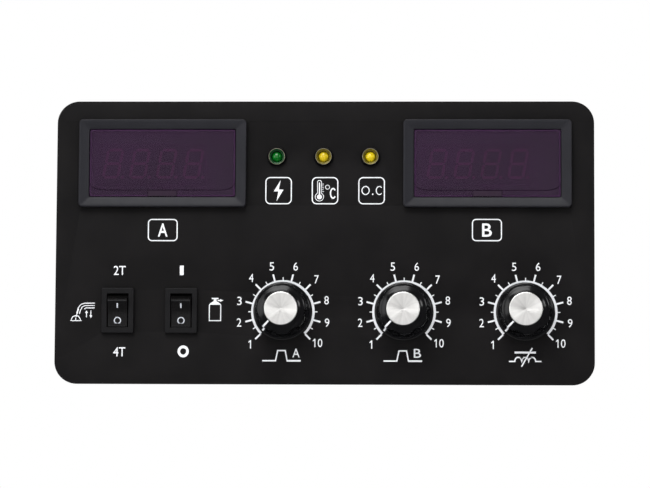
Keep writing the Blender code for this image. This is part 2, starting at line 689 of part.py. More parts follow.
def make_lamp_holder(name, x):
    """Turned bezel: a flange with a polished cup in front and a threaded barrel behind."""
    bore = LED_RADIUS + FIT
    top = PLATE_FRONT + LAMP_PROUD
    cup_floor = PLATE_FRONT + LAMP_CUP_FLOOR
    cup_width = LAMP_RIM_RADIUS - LAMP_RIM_WIDTH - bore
    barrel_rear = PLATE_FRONT - LAMP_BARREL_LENGTH
    led_step = top - LED_HEIGHT + LED_FLANGE_THICKNESS
    cup = [
        (bore + cup_width * u, cup_floor + (top - cup_floor) * (1 + v))
        for u, v in arc(1.0, -90, 0, 4)
    ]
    profile = [
        (LAMP_RIM_RADIUS, top),
        (LAMP_RIM_RADIUS + LAMP_RIM_DRAFT, top - LAMP_RIM_HEIGHT),
        (LAMP_FLANGE_RADIUS, PLATE_FRONT + GAP + LAMP_FLANGE_EDGE),
        (LAMP_FLANGE_RADIUS, PLATE_FRONT + GAP),
        (LAMP_BARREL_RADIUS, PLATE_FRONT + GAP),
        (LAMP_BARREL_RADIUS, barrel_rear),
        (LED_FLANGE_RADIUS + FIT, barrel_rear),
        (LED_FLANGE_RADIUS + FIT, led_step),
        (bore, led_step),
        *cup,
    ]
    holder = turned(f"{name}_lamp_holder", profile, 32, ring=True, at=(x, LAMP_Y, 0))
    return finish(holder, "black_chrome")


def make_led(name, x, colour):
    """Domed lens with its flange and two legs."""
    top = PLATE_FRONT + LAMP_PROUD - GAP
    bottom = top - LED_HEIGHT
    flange_top = bottom + LED_FLANGE_THICKNESS
    dome = arc(LED_RADIUS, 90, 0, 6, (0, top - LED_RADIUS))
    profile = [
        (0, top),
        *dome[1:],
        (LED_RADIUS, flange_top),
        (LED_FLANGE_RADIUS, flange_top),
        (LED_FLANGE_RADIUS, bottom),
        (0, bottom),
    ]
    led = turned(f"{name}_led", profile, 24, at=(x, LAMP_Y, 0))
    leg_root = LED_FLANGE_THICKNESS / 2  # into the lens
    for side in (-1, 1):
        centre = (side * LED_LEG_SPACING / 2, 0, bottom + (leg_root - LED_LEG_LENGTH) / 2)
        size = (LED_LEG_THICKNESS, LED_LEG_THICKNESS, LED_LEG_LENGTH + leg_root)
        leg = box(f"{name}_leg_{side}", size, centre, at=(x, LAMP_Y, 0))
        join(led, leg)
    led.data.materials.clear()
    led.data.materials.append(lamp_material(f"{name}_lens", colour))
    return led


def make_lamp(name, x, colour):
    make_lamp_holder(name, x)
    make_led(name, x, colour)
    high = PLATE_REAR - GAP
    outlines = [hexagon(LAMP_NUT_FLATS), circle(LAMP_BARREL_RADIUS + FIT, sides=24)]
    nut = flat(f"{name}_lamp_nut", outlines, high - LAMP_NUT_THICKNESS, high, at=(x, LAMP_Y, 0))
    finish(nut, "plated_steel")


# ---- rocker switches ----


def make_switch_housing(name, x):
    """Bezel and body in one moulding, with a well for the rocker and slots for the terminals."""
    at = (x, CONTROL_Y, 0)
    outline = rounded_rectangle(SWITCH_BEZEL_WIDTH, SWITCH_BEZEL_HEIGHT, SWITCH_BEZEL_CORNER, steps=2)
    housing = flat(f"{name}_housing", [outline], PLATE_FRONT + GAP, SWITCH_FRONT, at=at)
    body_outline = rectangle(SWITCH_BODY_WIDTH, SWITCH_BODY_HEIGHT)
    body = flat(f"{name}_body", [body_outline], SWITCH_REAR, PLATE_FRONT + 2 * GAP, at=at)
    opening_outline = rectangle(SWITCH_OPENING_WIDTH, SWITCH_OPENING_HEIGHT)
    opening = flat(f"{name}_opening", [opening_outline], PLATE_REAR, SWITCH_FRONT + GAP, at=at)
    well_outline = rectangle(SWITCH_OPENING_WIDTH, SWITCH_WELL_HEIGHT)
    floor = SWITCH_REAR + SWITCH_FLOOR
    well = flat(f"{name}_well", [well_outline], floor, SWITCH_FRONT - SWITCH_LIP, at=at)
    join(housing, body)
    cut(housing, opening, well)
    reach = SWITCH_OPENING_WIDTH / 2 + TRUNNION_LENGTH
    socket_radius = TRUNNION_RADIUS + FIT
    socket = rod(f"{name}_socket", socket_radius, -reach, reach, (0, ROCKER_Z), 16, "X", at)
    slot_size = (TAB_WIDTH + 2 * FIT, TAB_THICKNESS + 2 * FIT, SWITCH_FLOOR + 2 * GAP)
    slots = [
        box(f"{name}_slot_{i}", slot_size, (0, y, SWITCH_REAR + SWITCH_FLOOR / 2), at)
        for i, y in enumerate((0, -TAB_SPACING))
    ]
    cut(housing, socket, *slots)
    return finish(housing, "switch_plastic")


def make_rocker(name, x):
    """V-faced rocker on two trunnions, with a nib below that works the contact lever."""
    edge = polar(ROCKER_EDGE_RADIUS, ROCKER_EDGE_ANGLE)
    valley = edge[1] - edge[0] * math.tan(ROCKER_TURN)
    half = [
        edge,
        polar(ROCKER_SKIRT_RADIUS, ROCKER_SKIRT_ANGLE),
        polar(ROCKER_SKIRT_RADIUS - ROCKER_SKIN, ROCKER_SKIRT_ANGLE),
        (ROCKER_HUB_HALF, ROCKER_HUB_RISE),
        (NIB_SHOULDER, -NIB_ROOT),
        (NIB_HALF_WIDTH, NIB_TIP_HEIGHT - NIB_LENGTH),
        (NIB_TIP_HALF, -NIB_LENGTH),
    ]
    outline = [(0, valley), *half, *[(-u, v) for u, v in reversed(half)]]
    at = (x, CONTROL_Y, ROCKER_Z)
    rocker = flat(f"{name}_rocker", [outline], -ROCKER_WIDTH / 2, ROCKER_WIDTH / 2, at=at, along="X")
    reach = SWITCH_OPENING_WIDTH / 2 + TRUNNION_LENGTH - FIT
    trunnions = rod(f"{name}_trunnions", TRUNNION_RADIUS, -reach, reach, (0, 0), 16, "X", at)
    join(rocker, trunnions)
    for piece in (rocker, trunnions):
        piece.rotation_euler = (ROCKER_TURN, 0, 0)
    return finish(rocker, "switch_plastic")


def make_lever(name, x):
    """Seesaw contact blade with a contact button under its closing end."""
    at = (x, CONTROL_Y, LEVER_Z)
    lever = box(f"{name}_lever", (LEVER_WIDTH, LEVER_LENGTH, LEVER_THICKNESS), (0, 0, 0), at)
    button_low = -LEVER_THICKNESS / 2 - BUTTON_HEIGHT
    button_place = (0, BUTTON_INSET - TAB_SPACING)
    button = rod(f"{name}_button", BUTTON_RADIUS, button_low, 0, button_place, 12, at=at)
    join(lever, button)
    for piece in (lever, button):
        piece.rotation_euler = (-LEVER_TURN, 0, 0)
    return finish(lever, "brass")


def make_terminal(name, label, x, y, top):
    """A flat tab through the floor of the housing, with a hole for the wire's connector."""
    at = (x, CONTROL_Y + y, 0)
    height = top - (SWITCH_REAR - TAB_LENGTH)
    size = (TAB_WIDTH, TAB_THICKNESS, height)
    terminal = box(f"{name}_{label}", size, (0, 0, top - height / 2), at)
    hole = rod(f"{name}_{label}_hole", TAB_HOLE_RADIUS, -TAB_THICKNESS, TAB_THICKNESS, sides=12, at=at)
    hole.data.transform(Matrix.Rotation(math.radians(90), 4, "X"))
    hole.data.transform(Matrix.Translation((0, 0, SWITCH_REAR - TAB_HOLE_DROP)))
    cut(terminal, hole)
    return finish(terminal, "brass")


def make_switch(name, x):
    make_switch_housing(name, x)
    make_rocker(name, x)
    make_lever(name, x)
    common_top = LEVER_Z - LEVER_THICKNESS / 2 - LEVER_REST_GAP
    make_terminal(name, "common_terminal", x, 0, common_top)
    swing = LEVER_LENGTH / 2 * math.sin(LEVER_TURN)
    contact_top = LEVER_Z - swing - LEVER_THICKNESS - BUTTON_HEIGHT - CONTACT_GAP
    make_terminal(name, "contact_terminal", x, -TAB_SPACING, contact_top)


# ---- potentiometers and knobs ----


def make_pot_body(name, x):
    """Bush and hollow can. The shaft's bore opens into the can."""
    at = (x, CONTROL_Y, 0)
    bore = SHAFT_RADIUS + SLIDE
    bush_top = PLATE_FRONT + BUSH_PROUD
    rear = POT_FACE - POT_CAN_DEPTH
    ceiling = POT_FACE - 2 * POT_CAN_WALL
    inside = POT_CAN_RADIUS - POT_CAN_WALL
    profile = [
        (BUSH_RADIUS, bush_top),
        (BUSH_RADIUS, POT_FACE),
        (POT_CAN_RADIUS, POT_FACE),
        (POT_CAN_RADIUS, rear),
        (0, rear),
        (0, rear + POT_CAN_WALL),
        (inside, rear + POT_CAN_WALL),
        (inside, ceiling),
        (bore, ceiling),
        (bore, bush_top),
    ]
    body = turned(f"{name}_body", profile, 32, ring=True, at=at)
    slot_size = (TONGUE_WIDTH + 2 * FIT, POT_CAN_RADIUS, TONGUE_THICKNESS + 2 * FIT)
    cut(body, box(f"{name}_slot", slot_size, (0, -POT_CAN_RADIUS, TONGUE_Z), at))
    return finish(body, "plated_steel")


def make_pot_tongue(name, x):
    """Phenolic tongue with three lugs that turn back through the control board."""
    at = (x, CONTROL_Y, 0)
    inner = TONGUE_INSET - POT_CAN_RADIUS
    outer = -TONGUE_REACH - TONGUE_END
    size = (TONGUE_WIDTH, inner - outer, TONGUE_THICKNESS)
    tongue = box(f"{name}_tongue", size, (0, (inner + outer) / 2, TONGUE_Z), at)
    low = BOARD_REAR - LUG_PROUD
    for i in (-1, 0, 1):
        centre = (i * LUG_SPACING, -TONGUE_REACH, (low + TONGUE_Z) / 2)
        lug = box(f"{name}_lug_{i}", (LUG_WIDTH, LUG_THICKNESS, TONGUE_Z - low), centre, at)
        join(tongue, lug)
    return finish(tongue, "phenolic")


def make_pot_shaft(name, x):
    """Shaft with the wiper disc that turns inside the can, on a pin that stands on its floor."""
    top = KNOB_TOP - SHAFT_SINK
    disc_top = TONGUE_Z - TONGUE_THICKNESS - GAP
    disc_rear = disc_top - WIPER_THICKNESS
    foot = POT_FACE - POT_CAN_DEPTH + POT_CAN_WALL + 2 * GAP
    profile = [
        (0, top),
        (SHAFT_RADIUS - SHAFT_CHAMFER, top),
        (SHAFT_RADIUS, top - SHAFT_CHAMFER),
        (SHAFT_RADIUS, disc_top),
        (WIPER_RADIUS, disc_top),
        (WIPER_RADIUS, disc_rear),
        (SHAFT_RADIUS / 2, disc_rear),
        (SHAFT_RADIUS / 2, foot),
        (0, foot),
    ]
    shaft = turned(f"{name}_shaft", profile, 24, at=(x, CONTROL_Y, 0))
    return finish(shaft, "spun_aluminium")


def make_pot_fixing(name, x):
    """Washer and hexagon nut on the bush, under the knob."""
    at = (x, CONTROL_Y, 0)
    hole = circle(BUSH_RADIUS + FIT, sides=20)
    low = PLATE_FRONT + GAP
    high = low + WASHER_THICKNESS
    washer = flat(f"{name}_washer", [circle(WASHER_RADIUS, sides=28), hole], low, high, at)
    finish(washer, "plated_steel")
    nut_low = high + GAP
    nut = flat(f"{name}_nut", [hexagon(POT_NUT_FLATS), hole], nut_low, nut_low + POT_NUT_THICKNESS, at)
    finish(nut, "plated_steel")


def make_knob(name, x):
    """Fluted, skirted knob, hollow underneath for the nut, with a seat for its metal cap."""
    at = (x, CONTROL_Y, 0)
    bore = SHAFT_RADIUS + SLIDE
    bore_top = KNOB_TOP - SHAFT_SINK + GAP
    hollow = WASHER_RADIUS + KNOB_HOLLOW_MARGIN
    hollow_top = PLATE_FRONT + BUSH_PROUD + 2 * GAP
    seat = KNOB_TOP - KNOB_CAP_THICKNESS - GAP
    cap_edge = KNOB_CAP_RADIUS + FIT
    crown_centre = (
        KNOB_GRIP_RADIUS - KNOB_SHOULDER_RADIUS,
        KNOB_TOP - KNOB_SHOULDER_DROP - KNOB_SHOULDER_RADIUS,
    )
    flare_drop = KNOB_FLARE_HEIGHT - KNOB_SKIRT_EDGE
    flare = [
        (KNOB_SKIRT_RADIUS + KNOB_FLARE * u, KNOB_BASE + KNOB_FLARE_HEIGHT + flare_drop * v)
        for u, v in arc(1.0, 180, 270, 4)
    ]
    profile = [
        (cap_edge, KNOB_TOP - KNOB_CAP_CHAMFER),
        *arc(KNOB_SHOULDER_RADIUS, 90, 0, 4, crown_centre),
        *flare,
        (KNOB_SKIRT_RADIUS, KNOB_BASE),
        (hollow, KNOB_BASE),
        (hollow, hollow_top),
        (bore, hollow_top),
        (bore, bore_top),
        (0, bore_top),
        (0, seat),
        (cap_edge, seat),
    ]
    knob = turned(name, profile, 42, ring=True, at=at)
    flutes = []
    for index in range(KNOB_FLUTES):
        low = KNOB_BASE + FLUTE_BASE
        place = flute_place(index)
        flutes.append(rod(f"{name}_flute_{index}", FLUTE_RADIUS, low, KNOB_TOP + GAP, place, 28, at=at))
    cut(knob, *flutes)
    return finish(knob, "knob_black")


def flute_place(index):
    """Flutes stand midway between lobes, and the pointer runs down a lobe."""
    distance = KNOB_GRIP_RADIUS - FLUTE_DEPTH + FLUTE_RADIUS
    return polar(distance, POINTER_ANGLE + (index + 0.5) * 360 / KNOB_FLUTES)


def make_knob_cap(name, x):
    low = KNOB_TOP - KNOB_CAP_THICKNESS
    profile = [
        (0, KNOB_TOP),
        (KNOB_CAP_RADIUS - KNOB_CAP_CHAMFER, KNOB_TOP),
        (KNOB_CAP_RADIUS, KNOB_TOP - KNOB_CAP_CHAMFER),
        (KNOB_CAP_RADIUS, low),
        (0, low),
    ]
    cap = turned(f"{name}_cap", profile, 42, at=(x, CONTROL_Y, 0))
    return finish(cap, "spun_aluminium")


def make_pot(name, knob_name, x):
    make_pot_body(name, x)
    make_pot_tongue(name, x)
    make_pot_shaft(name, x)
    make_pot_fixing(name, x)
    make_knob(knob_name, x)
    make_knob_cap(knob_name, x)


# ---- control board ----


def spacer_points():
    y = BOARD_TOP - SPACER_BASE / 2
    return [(BOARD_LEFT + SPACER_BASE / 2, y), (BOARD_RIGHT - SPACER_BASE / 2, y)]


def make_control_board():
    centre = ((BOARD_LEFT + BOARD_RIGHT) / 2, (BOARD_BOTTOM + BOARD_TOP) / 2)
    size = (BOARD_RIGHT - BOARD_LEFT, BOARD_TOP - BOARD_BOTTOM)
    outline = rounded_rectangle(*size, BOARD_CORNER, centre, steps=3)
    slot_size = (LUG_WIDTH + 2 * FIT, LUG_THICKNESS + 2 * FIT)
    slots = [
        rectangle(*slot_size, (x + i * LUG_SPACING, CONTROL_Y - TONGUE_REACH))
        for x in KNOB_XS
        for i in (-1, 0, 1)
    ]
    holes = [circle(PEG_RADIUS + 2 * FIT, point, sides=16) for point in spacer_points()]
    board = flat("control_board", [outline, *slots, *holes], BOARD_REAR, BOARD_FRONT)
    finish(board, "circuit_board")
    header_at = ((KNOB_XS[1] + KNOB_XS[2]) / 2, BOARD_TOP - HEADER_ACROSS, 0)
    make_header("control_board_header", header_at, BOARD_REAR - GAP, CONTROL_HEADER_WIDTH)


def make_spacer(label, point):
    """Nylon spacer: a stuck-on foot, a pillar, and a peg through the board."""
    at = (*point, 0)
    high = PLATE_REAR - GAP
    middle = high - SPACER_FOOT / 2
    shoulder = BOARD_FRONT + GAP
    size = (SPACER_BASE, SPACER_BASE, SPACER_FOOT)
    spacer = box(f"board_spacer_{label}", size, (0, 0, middle), at)
    pillar = rod(f"pillar_{label}", SPACER_RADIUS, shoulder, middle, sides=16, at=at)
    peg_low = BOARD_REAR - PEG_PROUD
    peg = rod(f"peg_{label}", PEG_RADIUS, peg_low, shoulder + SPACER_FOOT, sides=12, at=at)
    join(spacer, pillar, peg)
    finish(spacer, "nylon")


make_plate()
make_gasket()
for meter_name, meter_x in zip(METER_NAMES, METER_XS):
    make_meter(meter_name, meter_x)
for lamp_name, lamp_x, lamp_colour in zip(LAMP_NAMES, LAMP_XS, LAMP_COLOURS):
    make_lamp(lamp_name, lamp_x, lamp_colour)
for switch_name, switch_x in zip(SWITCH_NAMES, SWITCH_XS):
    make_switch(switch_name, switch_x)
for pot_name, knob_name, knob_x in zip(POT_NAMES, KNOB_NAMES, KNOB_XS):
    make_pot(pot_name, knob_name, knob_x)
make_control_board()
for spacer_label, spacer_point in zip(("left", "right"), spacer_points()):
    make_spacer(spacer_label, spacer_point)
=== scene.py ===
import json
import math
import random

import bmesh
import bpy
from mathutils import Matrix, Vector


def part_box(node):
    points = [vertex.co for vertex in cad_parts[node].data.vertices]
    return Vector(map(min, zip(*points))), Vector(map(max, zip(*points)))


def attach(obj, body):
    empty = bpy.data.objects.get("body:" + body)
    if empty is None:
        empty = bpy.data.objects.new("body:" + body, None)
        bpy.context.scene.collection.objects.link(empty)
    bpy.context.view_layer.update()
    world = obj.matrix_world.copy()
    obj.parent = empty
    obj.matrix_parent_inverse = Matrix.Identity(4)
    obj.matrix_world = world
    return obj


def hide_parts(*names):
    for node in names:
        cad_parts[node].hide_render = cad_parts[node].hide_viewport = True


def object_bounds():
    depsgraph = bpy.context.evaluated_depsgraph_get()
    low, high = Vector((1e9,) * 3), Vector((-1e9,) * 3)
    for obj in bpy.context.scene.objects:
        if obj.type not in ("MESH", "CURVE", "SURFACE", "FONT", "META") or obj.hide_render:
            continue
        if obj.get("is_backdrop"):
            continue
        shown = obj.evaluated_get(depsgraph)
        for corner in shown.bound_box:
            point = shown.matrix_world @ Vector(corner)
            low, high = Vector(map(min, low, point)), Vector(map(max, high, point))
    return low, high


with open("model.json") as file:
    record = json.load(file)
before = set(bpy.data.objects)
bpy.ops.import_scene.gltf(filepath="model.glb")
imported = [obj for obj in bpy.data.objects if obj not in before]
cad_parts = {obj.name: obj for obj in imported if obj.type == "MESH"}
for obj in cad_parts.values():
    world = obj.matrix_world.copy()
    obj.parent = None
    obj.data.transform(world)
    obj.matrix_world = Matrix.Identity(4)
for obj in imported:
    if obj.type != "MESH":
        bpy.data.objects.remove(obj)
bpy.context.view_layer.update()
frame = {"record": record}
scene = bpy.context.scene
bodyOf = {n: body for body, names in frame["record"]["behaviour"]["bodies"].items() for n in names}

# Shapes are drawn in millimetres on the panel: x right, y up, z out towards the operator.
toWorld = Matrix(((0.001, 0, 0, 0), (0, 0, -0.001, 0), (0, 0.001, 0, 0), (0, 0, 0, 1)))


def span(node):
    # lowest and highest corner of a CAD node in panel millimetres
    low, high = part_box(node)
    return Vector((low.x, low.z, -high.y)) * 1000, Vector((high.x, high.z, -low.y)) * 1000


def middle(node):
    low, high = span(node)
    return (low + high) / 2


# Shape helpers: each gives a closed mesh in panel millimetres.


def asMesh(points, faces):
    mesh = bpy.data.meshes.new("part")
    mesh.from_pydata([tuple(p) for p in points], [], faces)
    return mesh


def loft(rings, closed=False):
    count = len(rings[0])
    points = [point for ring in rings for point in ring]
    faces = []
    for row in range(len(rings) if closed else len(rings) - 1):
        a, b = row * count, (row + 1) % len(rings) * count
        faces += [(a + i, a + (i + 1) % count, b + (i + 1) % count, b + i) for i in range(count)]
    if not closed:
        faces.append(tuple(range(count)))
        faces.append(tuple(range(len(points) - count, len(points))))
    return asMesh(points, faces)


def roundedRing(width, height, radius, z, centre=(0, 0), steps=6):
    points = []
    for sx, sy, start in ((1, 1, 0), (-1, 1, 90), (-1, -1, 180), (1, -1, 270)):
        cx, cy = centre[0] + sx * (width / 2 - radius), centre[1] + sy * (height / 2 - radius)
        for step in range(steps + 1):
            a = math.radians(start + 90 * step / steps)
            points.append((cx + radius * math.cos(a), cy + radius * math.sin(a), z))
    return points


def shell(levels, centre=(0, 0), closed=False, steps=6):
    # levels are (width, height, corner radius, z)
    return loft([roundedRing(*level, centre, steps) for level in levels], closed)


def polar(centre, radius, turn, z):
    return centre[0] + radius * math.cos(turn), centre[1] + radius * math.sin(turn), z


def lathe(profile, centre=(0, 0), closed=False, steps=48):
    # profile is (radius, z) pairs
    turns = [math.tau * i / steps for i in range(steps)]
    return loft([[polar(centre, radius, turn, z) for turn in turns] for radius, z in profile], closed)


def turned(centre, levels, steps, reach):
    # rings whose radius comes from reach(share of a turn, level)
    return [[polar(centre, reach(i / steps, z), math.tau * i / steps, z) for i in range(steps)]
            for z in levels]


def zigzag(value):
    return abs(value % 1 * 2 - 1)


def arc(cx, cz, radius, start, end, steps=6):
    turns = [math.radians(start + (end - start) * i / steps) for i in range(steps + 1)]
    return [(cx + radius * math.cos(a), cz + radius * math.sin(a)) for a in turns]


def circle(radius, centre=(0, 0), steps=32, start=0):
    return [(centre[0] + u, centre[1] + v) for u, v in arc(0, 0, radius, start, start + 360, steps)[:-1]]


def slab(outer, low, high, inner=None):
    # a flat piece of that outline, or a flat ring between two outlines
    if inner is None:
        return loft([[(x, y, z) for x, y in outer] for z in (low, high)])
    layers = ((outer, low), (outer, high), (inner, high), (inner, low))
    return loft([[(x, y, z) for x, y in outline] for outline, z in layers], closed=True)


def block(low, high, edge=0.12, steps=2):
    shape = bmesh.new()
    bmesh.ops.create_cube(shape, size=1)
    for vert in shape.verts:
        vert.co = [low[i] if vert.co[i] < 0 else high[i] for i in range(3)]
    if edge:
        bmesh.ops.bevel(shape, geom=shape.edges[:], offset=edge, segments=steps, affect="EDGES",
                        profile=0.5)
    mesh = bpy.data.meshes.new("part")
    shape.to_mesh(mesh)
    shape.free()
    return mesh


def post(x, y, halfX, halfY, low, high, edge=0.1, steps=1):
    return block((x - halfX, y - halfY, low), (x + halfX, y + halfY, high), edge, steps)


def meshOf(curve, place=Matrix()):
    holder = bpy.data.objects.new("drawn", curve)
    scene.collection.objects.link(holder)
    mesh = bpy.data.meshes.new_from_object(holder.evaluated_get(bpy.context.evaluated_depsgraph_get()))
    bpy.data.objects.remove(holder)
    bpy.data.curves.remove(curve)
    shape = bmesh.new()
    shape.from_mesh(mesh)
    bmesh.ops.remove_doubles(shape, verts=shape.verts, dist=1e-4)
    shape.to_mesh(mesh)
    shape.free()
    mesh.transform(place)
    return mesh


def signedArea(outline):
    return sum(a[0] * b[1] - b[0] * a[1] for a, b in zip(outline, outline[1:] + outline[:1]))


def sheetOf(outlines, low, high, edge=0.0, steps=2):
    # the first outline less the others, with rounded rims
    curve = bpy.data.curves.new("outline", "CURVE")
    curve.dimensions = "2D"
    curve.fill_mode = "BOTH"
    curve.extrude = (high - low) / 2 - edge
    curve.bevel_depth = edge
    curve.bevel_resolution = steps
    curve.offset = -edge
    for index, outline in enumerate(outlines):
        ordered = outline if (signedArea(outline) > 0) == (index == 0) else outline[::-1]
        spline = curve.splines.new("POLY")
        spline.points.add(len(ordered) - 1)
        for point, (x, y) in zip(spline.points, ordered):
            point.co = (x, y, 0, 1)
        spline.use_cyclic_u = True
    return meshOf(curve, Matrix.Translation((0, 0, (low + high) / 2)))


def wire(points, radius, smooth=True, steps=3):
    curve = bpy.data.curves.new("wire", "CURVE")
    curve.dimensions = "3D"
    curve.bevel_depth = radius
    curve.bevel_resolution = steps
    curve.use_fill_caps = True
    spline = curve.splines.new("NURBS" if smooth else "POLY")
    spline.points.add(len(points) - 1)
    for point, place in zip(spline.points, points):
        point.co = (*place, 1)
    if smooth:
        spline.order_u = 3
        spline.use_endpoint_u = True
        spline.resolution_u = 5
    return meshOf(curve)


def threaded(centre, radius, pitch, low, high, depth, steps=32):
    # a screw thread by formula, run out into a chamfer at both ends
    def reach(share, z):
        crest = radius - depth * min(1, max(0, 1.3 * zigzag(z / pitch - share) - 0.15))
        return min(crest, radius - depth * 1.3 + min(z - low, high - z))

    rows = max(8, int((high - low) / pitch * 8))
    return loft(turned(centre, [low + (high - low) * row / rows for row in range(rows + 1)], steps, reach))


def hexNut(centre, flats, bore, low, high, steps=48):
    # hexagon nut whose corners are turned off to a cone, and whose bore is countersunk
    def reach(share, z):
        side = flats / 2 / math.cos((math.tau * share + math.pi / 6) % (math.pi / 3) - math.pi / 6)
        return min(side, flats / 2 * 1.03 + 1.8 * min(z - low, high - z))

    rings = turned(centre, [low, low + 0.12, low + 0.3, high - 0.3, high - 0.12, high], steps, reach)
    for radius, z in ((bore + 0.35, high), (bore, high - 0.35), (bore, low + 0.35), (bore + 0.35, low)):
        rings.append([(*point, z) for point in circle(radius, centre, steps)])
    return loft(rings, closed=True)


def offsetLine(points, shift, closed):
    # the same line moved sideways, with mitred corners
    moved = []
    count = len(points)
    for i, point in enumerate(points):
        here = Vector(point)
        before = Vector(points[i - 1]) if i or closed else None
        after = Vector(points[(i + 1) % count]) if i < count - 1 or closed else None
        sides = []
        for a, b in ((before, here), (here, after)):
            if a is not None and b is not None:
                along = (b - a).normalized()
                sides.append(Vector((-along.y, along.x)))
        normal = sum(sides, Vector((0, 0))).normalized()
        moved.append(tuple(here + normal * (shift / max(0.35, normal.dot(sides[0])))))
    return moved


def stroke(points, width, closed=False):
    # outline of a drawn line, as (outer, inner) where it is closed
    left, right = offsetLine(points, width / 2, closed), offsetLine(points, -width / 2, closed)
    return (left, right) if closed else (left + right[::-1], None)


def lettering(text, height, width, centre, low, high, weight=0.0, lean=0.0):
    curve = bpy.data.curves.new("letters", "FONT")
    curve.body = text
    curve.size = 10
    curve.offset = weight
    curve.extrude = 1
    curve.resolution_u = 5
    mesh = meshOf(curve)
    corners = [vert.co for vert in mesh.vertices]
    left, right = min(c.x for c in corners), max(c.x for c in corners)
    foot, top = min(c.y for c in corners), max(c.y for c in corners)
    for vert in mesh.vertices:
        y = ((vert.co.y - foot) / (top - foot) - 0.5) * height
        x = ((vert.co.x - left) / (right - left) - 0.5) * width + y * lean
        vert.co = (centre[0] + x, centre[1] + y, high if vert.co.z > 0 else low)
    return mesh


def moved(mesh, matrix):
    mesh.transform(matrix)
    return mesh


def piece(name, parts, nodes, centre=(0, 0, 0), crease=24):
    # joins the parts, each with its finish, into one piece that rides with the first node's body
    whole = bmesh.new()
    finishes = []
    for mesh, finish in parts:
        if finish not in finishes:
            finishes.append(finish)
        start = len(whole.faces)
        whole.from_mesh(mesh)
        whole.faces.ensure_lookup_table()
        for face in whole.faces[start:]:
            face.material_index = finishes.index(finish)
        bpy.data.meshes.remove(mesh)
    bmesh.ops.recalc_face_normals(whole, faces=whole.faces)
    mesh = bpy.data.meshes.new(name)
    whole.to_mesh(mesh)
    whole.free()
    mesh.transform(toWorld @ Matrix.Translation(-Vector(centre)))
    mesh.shade_smooth()
    mesh.set_sharp_from_angle(angle=math.radians(crease))
    for finish in finishes:
        mesh.materials.append(finish)
    obj = bpy.data.objects.new(name, mesh)
    scene.collection.objects.link(obj)
    obj.location = toWorld @ Vector(centre)
    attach(obj, bodyOf[nodes[0]])
    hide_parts(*nodes)
    return obj


# Finishes.


def addNode(tree, kind, inputs=None, **settings):
    node = tree.nodes.new(kind)
    for key, value in settings.items():
        setattr(node, key, value)
    for socket, value in (inputs or {}).items():
        if isinstance(value, bpy.types.NodeSocket):
            tree.links.new(value, node.inputs[socket])
        else:
            node.inputs[socket].default_value = value
    return node


def mathNode(tree, operation, first, second=0.0, clamp=False):
    inputs = {0: first, 1: second}
    return addNode(tree, "ShaderNodeMath", inputs, operation=operation, use_clamp=clamp).outputs[0]


def mapRange(tree, value, low, high, newLow=0.0, newHigh=1.0):
    inputs = {"Value": value, "From Min": low, "From Max": high, "To Min": newLow, "To Max": newHigh}
    return addNode(tree, "ShaderNodeMapRange", inputs).outputs["Result"]


def mixColors(tree, factor, first, second):
    node = addNode(tree, "ShaderNodeMix", {0: factor, 6: first, 7: second}, data_type="RGBA")
    return node.outputs[2]


def newGroup(name, inputs, outputs):
    group = bpy.data.node_groups.new(name, "ShaderNodeTree")
    for label, value in inputs.items():
        kind = "Color" if isinstance(value, tuple) and len(value) == 4 else "Float"
        kind = "Vector" if isinstance(value, tuple) and len(value) == 3 else kind
        socket = group.interface.new_socket(name=label, in_out="INPUT", socket_type="NodeSocket" + kind)
        socket.default_value = value
    for label, kind in outputs.items():
        group.interface.new_socket(name=label, in_out="OUTPUT", socket_type="NodeSocket" + kind)
    return group, group.nodes.new("NodeGroupInput").outputs, group.nodes.new("NodeGroupOutput").inputs


def noise(tree, place, scale, detail):
    inputs = {"Vector": place, "Scale": scale, "Detail": detail}
    return addNode(tree, "ShaderNodeTexNoise", inputs).outputs["Fac"]


def buildMottle():
    # two shades of one colour in soft patches, with a finer cloud inside them
    inputs = {"Position": (0.0, 0.0, 0.0), "Patch Size": 8.0, "Light": (0.5, 0.5, 0.5, 1),
              "Dark": (0.4, 0.4, 0.4, 1)}
    group, given, result = newGroup("softMottle", inputs, {"Color": "Color", "Mask": "Float"})
    cloud = noise(group, given["Position"], mathNode(group, "DIVIDE", 1.0, given["Patch Size"]), 4.0)
    mask = mapRange(group, cloud, 0.32, 0.68)
    group.links.new(mixColors(group, mask, given["Light"], given["Dark"]), result["Color"])
    group.links.new(mask, result["Mask"])
    return group


def buildGrain():
    # moulded or sprayed grain: its height, and the roughness that goes with it
    inputs = {"Position": (0.0, 0.0, 0.0), "Grain Size": 0.4, "Roughness": 0.5, "Spread": 0.1}
    group, given, result = newGroup("fineGrain", inputs, {"Height": "Float", "Roughness": "Float"})
    fine = noise(group, given["Position"], mathNode(group, "DIVIDE", 1.0, given["Grain Size"]), 2.0)
    swing = mathNode(group, "SUBTRACT", noise(group, given["Position"], 0.22, 3.0), 0.5)
    swing = mathNode(group, "MULTIPLY", swing, mathNode(group, "MULTIPLY", given["Spread"], 3.0))
    group.links.new(fine, result["Height"])
    group.links.new(mathNode(group, "ADD", given["Roughness"], swing, clamp=True), result["Roughness"])
    return group


def patchyMask(group, given, whole, scale, detail, low, high):
    # that mask broken up by a cloud, times the group's amount
    mask = mathNode(group, "MULTIPLY", whole,
                    mapRange(group, noise(group, given["Position"], scale, detail), low, high))
    return mathNode(group, "MULTIPLY", mask, given["Amount"], clamp=True)


